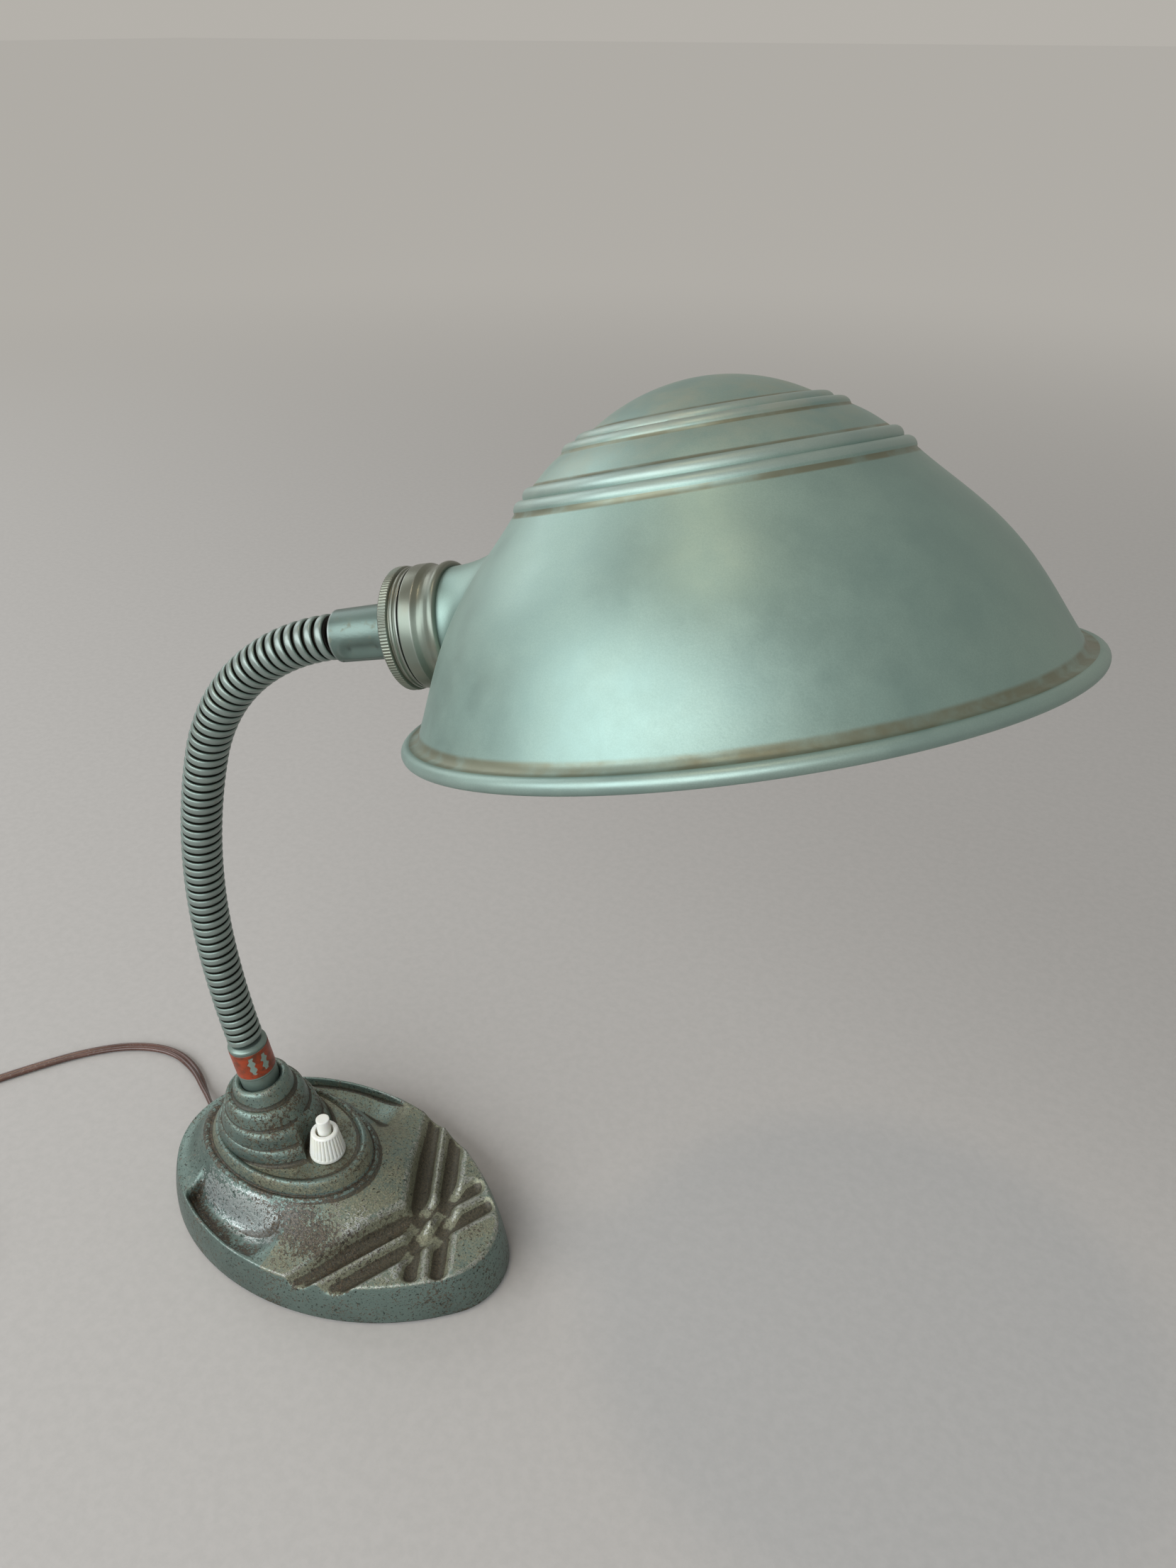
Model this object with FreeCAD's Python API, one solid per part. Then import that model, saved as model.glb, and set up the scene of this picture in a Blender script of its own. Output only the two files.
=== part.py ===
"""Gooseneck desk lamp: cast desk base, flexible ringed neck, turning shade.

Units are millimetres.  The origin is on the desk, under the middle of the
base; +X points at the nose of the base, +Z is up.  Each physical piece is
written to its own STEP file, named after the piece.
"""
import FreeCAD, Part
import math
import os
from FreeCAD import Vector as V

# ---------------------------------------------------------------- base
BASE_REAR_CENTRE_X = -6.5      # centre of the half ellipse at the rear
BASE_REAR_LENGTH = 80.4        # its half axis along X
BASE_HALF_WIDTH = 55.4
BASE_NOSE_X = 86.9
BASE_NOSE_RADIUS = 27.6
FELT_THICKNESS = 1.5
PLATE_THICKNESS = 1.2
DECK_EDGE_REAR_Z = 19.0        # top of the side wall, rear and nose
DECK_EDGE_NOSE_Z = 22.5
WALL_INSET = 3.0               # how far the wall leans in by the deck edge
NOSE_EXTRA_INSET = 2.0
CAVITY_TOP_Z = 10.5
PLATE_SCREWS = ((-60.0, 26.0), (-60.0, -26.0), (30.0, 36.0), (30.0, -36.0))

# stepped oval boss: (centre x, half length, half width, height)
FLANGE_FOOT = (-26.0, 45.7, 30.6, 30.5)
FLANGE_TOP = (-25.4, 43.6, 29.0, 32.0)
RIM_FOOT = (-24.4, 42.0, 27.8, 31.0)
RIM_TOP = (-24.6, 37.9, 26.3, 38.4)
PLATEAU = (-24.6, 35.2, 23.6, 36.6)
STEP_1 = ((-34.0, 28.4, 22.9, 35.0), (-34.4, 26.0, 21.2, 43.4))
STEP_2 = ((-34.4, 24.2, 21.0, 42.0), (-34.6, 21.4, 19.4, 51.6))
STEP_3 = ((-35.4, 19.8, 18.4, 50.0), (-36.2, 17.1, 16.3, 60.0))
STEP_4_FOOT = (-37.2, 14.6, 14.6, 58.0)
COLLAR_RADIUS = 12.6           # round collar that the neck stands in
STEP_ROUND = 1.5

GROOVE_X = (45.6, 58.4)        # where the pen grooves cross the middle line
GROOVE_ANGLE = 61.8            # degrees from the X axis
GROOVE_RADIUS = 5.3
GROOVE_OUTER_RUN = 62.0        # from the middle line out past the side
GROOVE_INNER_RUN = (33.5, 26.5)
GROOVE_FLOOR_OUTER_Z = 15.6
GROOVE_FLOOR_INNER_Z = 18.4

TRAY_RADIUS = 27.0             # clip trays either side of the boss
TRAY_FLOOR_Z = 13.6
TRAY_LIP = 5.2
TRAY_RIGHT = ((-53.0, -36.5), (-22.0, -42.5))    # rear and front end of its middle line
TRAY_LEFT = ((-58.0, 33.5), (-14.0, 42.0))

# ---------------------------------------------------------------- switch
SWITCH_X = -3.0
SWITCH_COLLAR_BASE_R = 8.0
SWITCH_COLLAR_TOP_R = 6.1
SWITCH_COLLAR_HEIGHT = 13.7
SWITCH_FLUTES = 26
SWITCH_THREAD_R = 5.0
BUTTON_RADIUS = 3.0
BUTTON_TOP_Z = 57.4
SPRING_WIRE = 0.7
SPRING_TURNS = 4

# ---------------------------------------------------------------- neck
NECK_ROOT = V(-37.2, 0.0, 67.5)
NECK_PLANE_AZIMUTH = 13.77
NECK_START_ANGLE = -8.0        # from vertical; the neck first leans back
FERRULE_LENGTH = 23.0
FERRULE_RADIUS = 8.5
FERRULE_SEAT = 7.5             # depth of the ferrule in the collar
NECK_ARCS = ((FERRULE_LENGTH, 0.0), (53.5, 7.0), (95.6, 19.5), (22.0, 13.5), (62.3, 45.0))
LINK_COUNT = 15
BANDS_PER_LINK = 4
BAND_PITCH = 3.89
BAND_RADIUS = 7.75
BAND_SHOULDER_RADIUS = 7.0
NECK_CORE_RADIUS = 6.2
NECK_BORE_RADIUS = 4.6
BAND_ROOT_RADIUS = 5.4
BAND_HALF_WIDTH = 1.4
BAND_CREST_HALF_WIDTH = 0.75
JOINT_GAP = 1.0
SLEEVE_LENGTH = 26.0
SLEEVE_RADIUS = 8.8

# ---------------------------------------------------------------- head
COLLAR_OUTER_R = 20.0
COLLAR_LENGTH = 20.0
KNURL_LENGTH = 3.6
KNURL_TEETH = 60
SHADE_COLLAR_START = 7.4
HOLDER_SLEEVE_R = 16.7
HOLDER_SLEEVE_END = 46.0
SPOUT_RADIUS = 18.0
SPOUT_START = 13.0
SPOUT_FLARE = ((18.0, 20.6), (18.6, 24.5), (20.0, 29.5), (22.0, 34.5), (24.2, 39.0))
SHADE_THICKNESS = 0.9
SHADE_DISTANCE = 106.4         # collar back face to the shade's own axis
SHADE_AXIS_DROP = 30.8         # shade axis point that meets the holder axis
SHADE_AXIS = V(-0.2965, 0.1997, 0.934)
SHADE_RIM_R = 98.6
RIM_BEAD_R = 2.3
DOME_POINTS = ((98.2, 3.4), (92.2, 16.0), (84.0, 32.5), (71.5, 49.0), (56.6, 64.9))
BEADS_LOWER = ((56.6, 64.9), (54.1, 67.6), (51.7, 70.0))
BEADS_UPPER = ((39.5, 79.1), (36.1, 80.9), (32.7, 82.4))
BEAD_PROUD = 1.1
CAP_TOP = 92.5
BULB_RADIUS = 22.5
BULB_CONTACT_X = 13.0
BULB_LENGTH = 78.0

# ---------------------------------------------------------------- cord
CORD_DIAMETER = 4.8
CORD_EXIT = V(-88.5, 10.1, 6.5)
CORD_FLANGE_BACK = 3.45        # from the exit point back to the seat of the bushing
CLAMP_SCREW_HALF_SPACING = 5.4
CLAMP_SCREW_RADIUS = 1.2
CORD_ROUTE = (
    (-88.5, 10.1, 6.5),
    (-103.0, 18.6, 3.2),
    (-119.0, 28.6, 2.5),
    (-140.5, 33.6, 2.5),
    (-163.0, 25.8, 2.5),
    (-182.0, 9.0, 2.5),
    (-198.0, -13.0, 2.5),
    (-213.5, -37.0, 2.5),
    (-227.0, -64.8, 2.5),
)
COIL_CENTRE = V(-212.0, -93.0, 0.0)
COIL_RADIUS = 27.0
COIL_HALF_BREADTH = 7.2
COIL_BOTTOM = 0.9
COIL_TOP = 9.4
TIE_THICKNESS = 0.7
PLUG_Y = -120.0
PLUG_Z = 7.0

Z_AXIS = V(0, 0, 1)
X_AXIS = V(1, 0, 0)


# ---------------------------------------------------------------- helpers
def placed(shape, origin, x_dir, z_dir):
    """Copy of a shape, moved so that its X and Z axes take the given directions."""
    x = V(x_dir).normalize()
    y = z_dir.cross(x).normalize()
    z = x.cross(y)
    copy = shape.copy()
    copy.Placement = FreeCAD.Placement(origin, FreeCAD.Rotation(x, y, z, "ZXY"))
    return copy


def cylinder(radius, start, direction, length):
    return Part.makeCylinder(radius, length, start, direction)


def turned(points, z_axis=True):
    """Solid turned about Z (or X) from corner points (radius, distance along axis)."""
    if z_axis:
        corners = [V(r, 0, z) for r, z in points]
        axis = Z_AXIS
    else:
        corners = [V(x, 0, r) for r, x in points]
        axis = X_AXIS
    face = Part.Face(Part.makePolygon(corners + corners[:1]))
    return face.revolve(V(0, 0, 0), axis, 360)


def tube(outer, inner, start, end, z_axis=True):
    return turned([(inner, start), (outer, start), (outer, end), (inner, end)], z_axis)


def rounded(shape, radius, pick):
    edges = [edge for edge in shape.Edges if pick(edge)]
    return shape.makeFillet(radius, edges)


def join(shapes):
    return shapes[0].multiFuse(shapes[1:]).removeSplitter()


def save(name, shape):
    if not shape.isValid():
        print("NOT VALID:", name)
    shape.exportStep(os.path.join("parts", name + ".step"))
    solids = len(shape.Solids)
    print("%-24s solids %2d  volume %10.1f" % (name, solids, shape.Volume))


# ---------------------------------------------------------------- base outline
def oval_point(oval, angle):
    """Point of an oval ring whose outward normal has the given angle."""
    centre_x, half_length, half_width, height = oval
    cos_a, sin_a = math.cos(angle), math.sin(angle)
    size = math.hypot(half_length * cos_a, half_width * sin_a)
    x = centre_x + half_length ** 2 * cos_a / size
    return V(x, half_width ** 2 * sin_a / size, height)


def outline_point(angle, inset=0.0):
    """Point of the base outline whose outward normal has the given angle."""
    side = 1 if math.sin(angle) >= 0 else -1
    turn = abs(math.atan2(math.sin(angle), math.cos(angle)))
    nose_x = BASE_NOSE_X - BASE_NOSE_RADIUS
    reach = nose_x - BASE_REAR_CENTRE_X
    spread = BASE_HALF_WIDTH - BASE_NOSE_RADIUS
    flank = (reach ** 2 + BASE_HALF_WIDTH ** 2 - BASE_NOSE_RADIUS ** 2) / (2 * spread)
    flank_y = BASE_HALF_WIDTH - flank
    nose_turn = math.atan2(-flank_y, reach)
    if turn <= nose_turn:
        x = nose_x + BASE_NOSE_RADIUS * math.cos(turn)
        y = BASE_NOSE_RADIUS * math.sin(turn)
    elif turn <= math.pi / 2:
        x = BASE_REAR_CENTRE_X + flank * math.cos(turn)
        y = flank_y + flank * math.sin(turn)
    else:
        rear = (BASE_REAR_CENTRE_X, BASE_REAR_LENGTH, BASE_HALF_WIDTH, 0)
        corner = oval_point(rear, turn)
        x, y = corner.x, corner.y
    return V(x - inset * math.cos(turn), side * (y - inset * math.sin(turn)), 0)


def closed_curve(point_at, steps=72):
    points = [point_at(2 * math.pi * i / steps) for i in range(steps)]
    curve = Part.BSplineCurve()
    curve.interpolate(points, PeriodicFlag=True)
    return Part.Wire([curve.toShape()])


def flat_outline(inset, height):
    def point_at(angle):
        point = outline_point(angle, inset)
        return V(point.x, point.y, height)
    return closed_curve(point_at)


def flat_block(inset, bottom, top):
    face = Part.Face(flat_outline(inset, bottom))
    return face.extrude(V(0, 0, top - bottom))


def deck_edge_point(angle, rise=1.0):
    """Point of the side wall: rise 0 is the bottom edge, 1 the edge of the deck."""
    nose = max(0.0, math.cos(angle)) ** 2
    inset = (WALL_INSET + NOSE_EXTRA_INSET * nose) * rise ** 1.8
    point = outline_point(angle, inset)
    share = min(1.0, max(0.0, (point.x + 20.0) / (BASE_NOSE_X + 20.0)))
    edge_z = DECK_EDGE_REAR_Z + (DECK_EDGE_NOSE_Z - DECK_EDGE_REAR_Z) * share
    return V(point.x, point.y, FELT_THICKNESS + (edge_z - FELT_THICKNESS) * rise)


def deck_point(angle, share):
    """Point of the deck: share 0 is its edge, 1 the foot of the boss flange."""
    edge = deck_edge_point(angle)
    foot = oval_point(FLANGE_FOOT, angle)
    z = edge.z + (foot.z - edge.z) * share ** 2.4
    return V(edge.x + (foot.x - edge.x) * share, edge.y + (foot.y - edge.y) * share, z)


def base_body():
    wires = []
    for rise in (0.0, 0.3, 0.55, 0.75, 0.9, 1.0):
        wires.append(closed_curve(lambda angle: deck_edge_point(angle, rise)))
    for share in (0.2, 0.4, 0.55, 0.7, 0.82, 0.92, 1.0):
        wires.append(closed_curve(lambda angle: deck_point(angle, share)))
    return Part.makeLoft(wires, True, True)


def oval_wire(oval):
    centre_x, length, breadth, z = oval
    ellipse = Part.Ellipse(V(centre_x, 0, z), length, breadth)
    return Part.Wire([ellipse.toShape()])


def oval_step(foot, top, edge_round):
    """One tapered oval step of the boss with a rounded top edge."""
    wires = [oval_wire(foot)]
    arc_steps = 5 if edge_round else 0
    for i in range(arc_steps):
        turn = math.pi / 2 * i / arc_steps
        drop = edge_round * (1 - math.sin(turn))
        share = 1 - drop / (top[3] - foot[3])
        shrink = edge_round * (1 - math.cos(turn))
        centre_x, length, breadth, z = [a + (b - a) * share for a, b in zip(foot, top)]
        wires.append(oval_wire((centre_x, length - shrink, breadth - shrink, z)))
    centre_x, length, breadth, z = top
    wires.append(oval_wire((centre_x, length - edge_round, breadth - edge_round, z)))
    return Part.makeLoft(wires, True, True)


def neck_direction(angle):
    """Unit vector in the plane of the neck, at an angle from vertical."""
    azimuth = math.radians(NECK_PLANE_AZIMUTH)
    lean = math.radians(angle)
    flat = math.sin(lean)
    return V(flat * math.cos(azimuth), flat * math.sin(azimuth), math.cos(lean))


def neck_point(distance):
    """Centre line point and angle from vertical at a distance from the root."""
    point = V(NECK_ROOT)
    angle = NECK_START_ANGLE
    if distance < 0:
        return point + neck_direction(angle) * distance, angle
    left = distance
    arcs = NECK_ARCS + ((1000.0, 0.0),)
    for length, turn in arcs:
        part = min(left, length)
        swing = turn * part / length
        chord = part
        if abs(swing) > 1e-9:
            half = math.radians(swing) / 2
            chord = part * math.sin(half) / half
        point = point + neck_direction(angle + swing / 2) * chord
        angle += swing
        left -= part
        if left <= 1e-9:
            break
    return point, angle


def on_neck(shape, distance):
    """Place a shape turned about Z at a station of the neck's centre line."""
    point, angle = neck_point(distance)
    return placed(shape, point, neck_direction(angle + 90), neck_direction(angle))


def groove_cutter(x, side, inner_run):
    """Round-bottomed pen groove: a ball-ended rod laid across the deck."""
    turn = math.radians(GROOVE_ANGLE) * side
    along = V(math.cos(turn), math.sin(turn), 0)
    outer = V(x, 0, GROOVE_FLOOR_OUTER_Z + GROOVE_RADIUS) - along * GROOVE_OUTER_RUN
    inner = V(x, 0, GROOVE_FLOOR_INNER_Z + GROOVE_RADIUS) + along * (inner_run - GROOVE_RADIUS)
    path = inner - outer
    rod = cylinder(GROOVE_RADIUS, outer, path, path.Length)
    return rod.fuse(Part.makeSphere(GROOVE_RADIUS, inner))


def tray_cutter(ends, lip):
    """Dished tray beside the boss: a lying cylinder with a ball front end."""
    (rear_x, rear_y), (front_x, front_y) = ends
    height = TRAY_FLOOR_Z + TRAY_RADIUS
    rear = V(rear_x, rear_y, height)
    front = V(front_x, front_y, height)
    path = front - rear
    body = cylinder(TRAY_RADIUS, rear, path, path.Length)
    body = body.fuse(Part.makeSphere(TRAY_RADIUS, front))
    return body.common(lip)


def base_casting():
    body = base_body()
    flange_root = (FLANGE_FOOT[0], FLANGE_FOOT[1] - 0.5, FLANGE_FOOT[2] - 0.5, 28.0)
    flange = oval_step(flange_root, FLANGE_TOP, 0.0)
    rim = oval_step(RIM_FOOT, RIM_TOP, 1.2)
    rim = rim.cut(oval_step(PLATEAU, PLATEAU[:3] + (45.0,), 0.0))
    steps = [oval_step(foot, top, STEP_ROUND) for foot, top in (STEP_1, STEP_2, STEP_3)]
    point, angle = neck_point(0.0)
    ring = Part.Wire([Part.Circle(point, neck_direction(angle), COLLAR_RADIUS).toShape()])
    foot = Part.Ellipse(V(STEP_4_FOOT[0], 0, STEP_4_FOOT[3]), STEP_4_FOOT[1] + 0.01, STEP_4_FOOT[2])
    collar = Part.makeLoft([Part.Wire([foot.toShape()]), ring], True, True)
    top_edges = [edge for edge in collar.Edges if edge.BoundBox.ZMin > STEP_4_FOOT[3] + 3
                 and edge.BoundBox.ZLength > 1 and len(edge.Vertexes) == 1]
    collar = collar.makeFillet(1.2, top_edges)

    pocket = cylinder(SWITCH_COLLAR_BASE_R + 1.6, V(SWITCH_X, 0, PLATEAU[3]), Z_AXIS, 20)
    steps = [step.cut(pocket) for step in steps]
    casting = join([body, flange, rim] + steps + [collar])

    lip = flat_block(TRAY_LIP, 8.0, 60.0)
    guard_oval = (FLANGE_FOOT[0], FLANGE_FOOT[1] + 0.9, FLANGE_FOOT[2] + 0.9)
    guard = oval_step(guard_oval + (0.0,), guard_oval + (70.0,), 0.0)
    cutters = [tray_cutter(tray, lip).cut(guard) for tray in (TRAY_RIGHT, TRAY_LEFT)]
    for side in (1, -1):
        for x, inner_run in zip(GROOVE_X, GROOVE_INNER_RUN):
            cutters.append(groove_cutter(x, side, inner_run))

    recess_top = FELT_THICKNESS + PLATE_THICKNESS
    cutters.append(flat_block(4.2, 0.0, recess_top))
    cavity = flat_block(7.5, 0.0, CAVITY_TOP_Z)
    for x, y in PLATE_SCREWS:
        cavity = cavity.cut(cylinder(4.6, V(x, y, recess_top), Z_AXIS, 20))
    cutters.append(cavity)
    cutters.append(oval_step((-25.0, 37.0, 22.0, 8.0), (-25.0, 35.0, 20.5, 29.5), 0.0))
    neck_well = cylinder(14.0, V(NECK_ROOT.x + 1.0, 0, 25.0), Z_AXIS, 27.0)
    cutters.append(neck_well)
    for x, y in PLATE_SCREWS:
        cutters.append(cylinder(1.8, V(x, y, 0), Z_AXIS, 11.0))
    cutters.append(cylinder(SWITCH_THREAD_R + 0.1, V(SWITCH_X, 0, 20), Z_AXIS, 30))
    cutters.append(on_neck(tube(FERRULE_RADIUS + 0.1, 0.0, -FERRULE_SEAT, 20.0), 0.0))
    cutters.append(on_neck(tube(6.5, 0.0, -30.0, 1.0), 0.0))
    cutters.append(on_neck(cylinder(12.2, V(0, 0, -23.0), Z_AXIS, 6.8), 0.0))
    out = cord_exit_direction()
    cutters.append(cord_exit_hole())
    cutters.append(cylinder(5.8, CORD_EXIT - out * CORD_FLANGE_BACK, out, 12.0))
    for x, y in clamp_screw_places():
        cutters.append(cylinder(CLAMP_SCREW_RADIUS + 0.1, V(x, y, 9.0), Z_AXIS, 5.4))
    for cutter in cutters:
        casting = casting.cut(cutter)
    return max(casting.Solids, key=lambda solid: solid.Volume)


def cord_exit_direction():
    return V(-0.97, 0.243, 0).normalize()


def cord_exit_hole():
    """Round hole through the rear wall, also a shallow groove in the bottom plate."""
    out = cord_exit_direction()
    return cylinder(4.4, CORD_EXIT - out * 14.0, out, 20.0)


def clamp_centre():
    return CORD_EXIT - cord_exit_direction() * 22.0


def clamp_screw_places():
    centre = clamp_centre()
    across = cord_exit_direction().cross(Z_AXIS)
    places = []
    for side in (1, -1):
        place = centre + across * (side * CLAMP_SCREW_HALF_SPACING)
        places.append((place.x, place.y))
    return places


def save_base():
    save("base_casting", base_casting())
    save("felt_pad", flat_block(0.8, 0.0, FELT_THICKNESS))
    plate = flat_block(4.4, FELT_THICKNESS, FELT_THICKNESS + PLATE_THICKNESS)
    screws = []
    for x, y in PLATE_SCREWS:
        plate = plate.cut(cylinder(3.5, V(x, y, 0), Z_AXIS, 5))
        head = cylinder(3.4, V(x, y, FELT_THICKNESS), Z_AXIS, PLATE_THICKNESS)
        head = head.cut(Part.makeBox(5.0, 0.8, 0.6, V(x - 2.5, y - 0.4, FELT_THICKNESS)))
        screws.append(head.fuse(cylinder(1.8, V(x, y, FELT_THICKNESS + 1.0), Z_AXIS, 7.5)))
    save("bottom_plate", plate.cut(cord_exit_hole()))
    save("bottom_plate_screws", Part.makeCompound(screws))


def save_switch():
    base_z = PLATEAU[3]
    top_z = base_z + SWITCH_COLLAR_HEIGHT
    collar = turned([
        (SWITCH_THREAD_R + 0.05, base_z), (SWITCH_COLLAR_BASE_R, base_z),
        (SWITCH_COLLAR_BASE_R, base_z + 1.0), (SWITCH_COLLAR_TOP_R, top_z - 0.6),
        (SWITCH_COLLAR_TOP_R - 0.6, top_z), (BUTTON_RADIUS + 1.0, top_z),
        (BUTTON_RADIUS + 0.9, base_z + 8.0), (SWITCH_THREAD_R + 0.05, base_z + 8.0)])
    lean = math.atan2(SWITCH_COLLAR_BASE_R - SWITCH_COLLAR_TOP_R, SWITCH_COLLAR_HEIGHT)
    for i in range(SWITCH_FLUTES):
        turn = 2 * math.pi * i / SWITCH_FLUTES
        out = V(math.cos(turn), math.sin(turn), 0)
        start = out * (SWITCH_COLLAR_BASE_R + 0.15) + V(0, 0, base_z + 1.2)
        path = Z_AXIS * math.cos(lean) - out * math.sin(lean)
        collar = collar.cut(cylinder(0.5, start, path, SWITCH_COLLAR_HEIGHT))
    body = turned([
        (BUTTON_RADIUS + 0.15, 26.4), (BUTTON_RADIUS + 0.15, base_z + 7.8),
        (SWITCH_THREAD_R, base_z + 7.8), (SWITCH_THREAD_R, 29.2), (10.5, 29.2),
        (10.5, 13.5), (0, 13.5), (0, 15.0), (4.3, 15.0), (4.3, 26.4)])
    button = turned([
        (0, 24.2), (4.0, 24.2), (4.0, 26.2), (BUTTON_RADIUS, 26.2),
        (BUTTON_RADIUS, BUTTON_TOP_Z - 0.6), (BUTTON_RADIUS - 0.6, BUTTON_TOP_Z), (0, BUTTON_TOP_Z)])
    coils = []
    for i in range(SPRING_TURNS * 12 + 1):
        turn = 2 * math.pi * i / 12
        coils.append((3.0 * math.cos(turn), 3.0 * math.sin(turn), 15.6 + 8.0 * turn / (8 * math.pi)))
    spring = round_wire(coils, SPRING_WIRE)
    terminals = []
    for side in (1, -1):
        block = Part.makeBox(5.0, 3.6, 3.0, V(-2.5, side * 5.5 - 1.8, 10.5))
        terminals.append(block.fuse(cylinder(1.5, V(0, side * 5.5, 8.9), Z_AXIS, 2.0)))
    pieces = {"switch_collar": collar, "switch_body": body, "switch_button": button,
              "switch_spring": spring, "switch_terminals": Part.makeCompound(terminals)}
    for name, shape in pieces.items():
        shape.translate(V(SWITCH_X, 0, 0))
        save(name, shape)


# ---------------------------------------------------------------- neck
def band():
    """One rounded neck band, its inner edge buried in the wall of the core."""
    return turned([
        (BAND_ROOT_RADIUS, -BAND_HALF_WIDTH), (BAND_SHOULDER_RADIUS, -BAND_HALF_WIDTH),
        (BAND_RADIUS - 0.15, -BAND_CREST_HALF_WIDTH - 0.25), (BAND_RADIUS, -BAND_CREST_HALF_WIDTH + 0.1),
        (BAND_RADIUS, BAND_CREST_HALF_WIDTH - 0.1), (BAND_RADIUS - 0.15, BAND_CREST_HALF_WIDTH + 0.25),
        (BAND_SHOULDER_RADIUS, BAND_HALF_WIDTH), (BAND_ROOT_RADIUS, BAND_HALF_WIDTH)])


def neck_link(index):
    """Four bands on a bent core tube."""
    first = FERRULE_LENGTH + (index * BANDS_PER_LINK + 0.5) * BAND_PITCH
    last = first + (BANDS_PER_LINK - 1) * BAND_PITCH
    end = BAND_HALF_WIDTH - 0.2
    stations = [(first, -end)] + [(first + i * BAND_PITCH, 0.0) for i in range(BANDS_PER_LINK)] + [(last, end)]

    def core(radius):
        rings = []
        for distance, offset in stations:
            ring = Part.Circle(V(0, 0, offset), Z_AXIS, radius).toShape()
            rings.append(on_neck(Part.Wire([ring]), distance))
        return Part.makeLoft(rings, True, True)

    link = core(NECK_CORE_RADIUS).cut(core(NECK_BORE_RADIUS))
    for i in range(BANDS_PER_LINK):
        link = link.fuse(on_neck(band(), first + i * BAND_PITCH))
    return link


def save_neck():
    half = JOINT_GAP / 2
    ferrule = turned([
        (NECK_BORE_RADIUS, -FERRULE_SEAT - 15.0), (6.4, -FERRULE_SEAT - 15.0), (6.4, -FERRULE_SEAT),
        (FERRULE_RADIUS, -FERRULE_SEAT), (FERRULE_RADIUS, FERRULE_LENGTH - 3.7),
        (FERRULE_RADIUS + 0.35, FERRULE_LENGTH - 3.4), (FERRULE_RADIUS + 0.35, FERRULE_LENGTH - 2.3),
        (FERRULE_RADIUS - 0.3, FERRULE_LENGTH - 1.9),
        (BAND_SHOULDER_RADIUS, FERRULE_LENGTH - half), (NECK_BORE_RADIUS, FERRULE_LENGTH - half)])
    save("neck_ferrule", on_neck(ferrule, 0.0))
    save("ferrule_band", on_neck(tube(FERRULE_RADIUS + 0.2, FERRULE_RADIUS, 5.5, 19.0), 0.0))
    washer = tube(11.5, 6.5, -17.6, -16.2)
    save("neck_washer", on_neck(washer, 0.0))
    corners = [V(10.8 * math.cos(math.pi * i / 3), 10.8 * math.sin(math.pi * i / 3), -22.4) for i in range(7)]
    nut = Part.Face(Part.makePolygon(corners)).extrude(V(0, 0, 4.8))
    nut = nut.cut(tube(6.4, 0.0, -30.0, 0.0))
    save("neck_nut", on_neck(nut, 0.0))
    for index in range(LINK_COUNT):
        save("neck_link_%02d" % (index + 1), neck_link(index))
    start = FERRULE_LENGTH + LINK_COUNT * BANDS_PER_LINK * BAND_PITCH
    sleeve = turned([
        (NECK_BORE_RADIUS, half), (BAND_SHOULDER_RADIUS, half), (SLEEVE_RADIUS - 0.4, half + 1.2),
        (SLEEVE_RADIUS, half + 1.8), (SLEEVE_RADIUS + 0.45, SLEEVE_LENGTH),
        (5.0, SLEEVE_LENGTH), (5.0, SLEEVE_LENGTH - 7.0), (NECK_BORE_RADIUS, SLEEVE_LENGTH - 7.0)])
    dent = cylinder(9.0, V(0, -16.5, 8.0), Z_AXIS, 12.0)
    dent = rounded(dent, 3.0, lambda edge: edge.Curve.TypeId == "Part::GeomCircle")
    save("neck_sleeve", on_neck(sleeve.cut(dent), start))


# ---------------------------------------------------------------- head
def head_frame():
    """Origin and direction of the holder axis at the back face of the collar."""
    end = FERRULE_LENGTH + LINK_COUNT * BANDS_PER_LINK * BAND_PITCH + SLEEVE_LENGTH
    point, angle = neck_point(end)
    return point, neck_direction(angle)


def on_head(shape):
    """Place a shape turned about X on the holder axis."""
    origin, axis = head_frame()
    up = SHADE_AXIS - axis * SHADE_AXIS.dot(axis)
    return placed(shape, origin, axis, up)


def shade_frame():
    origin, axis = head_frame()
    up = V(SHADE_AXIS).normalize()
    centre = origin + axis * SHADE_DISTANCE - up * SHADE_AXIS_DROP
    across = axis - up * axis.dot(up)
    return centre, across, up


def bead_arcs(points):
    """Half-round beads between neighbouring profile points, standing proud."""
    arcs = []
    for (r0, z0), (r1, z1) in zip(points, points[1:]):
        run, rise = r1 - r0, z1 - z0
        size = math.hypot(run, rise)
        crest = V((r0 + r1) / 2 + BEAD_PROUD * rise / size, 0, (z0 + z1) / 2 - BEAD_PROUD * run / size)
        arcs.append(Part.Arc(V(r0, 0, z0), crest, V(r1, 0, z1)).toShape())
    return arcs


def swept_arc(start, middle, end):
    """Arc through three points, as a spline so that turning it makes no torus."""
    return Part.Arc(start, middle, end).toNurbs().toShape()


def dome_edges(offset):
    """Dome profile from rim to first bead, moved inwards by an offset: two arcs."""
    points = []
    count = len(DOME_POINTS)
    for i in range(count):
        before = DOME_POINTS[max(0, i - 1)]
        after = DOME_POINTS[min(count - 1, i + 1)]
        run, rise = after[0] - before[0], after[1] - before[1]
        size = math.hypot(run, rise)
        r, z = DOME_POINTS[i]
        points.append(V(r - offset * rise / size, 0, z + offset * run / size))
    edges = [swept_arc(*points[:3]), swept_arc(*points[2:])]
    return edges, points[0], points[-1]


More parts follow.
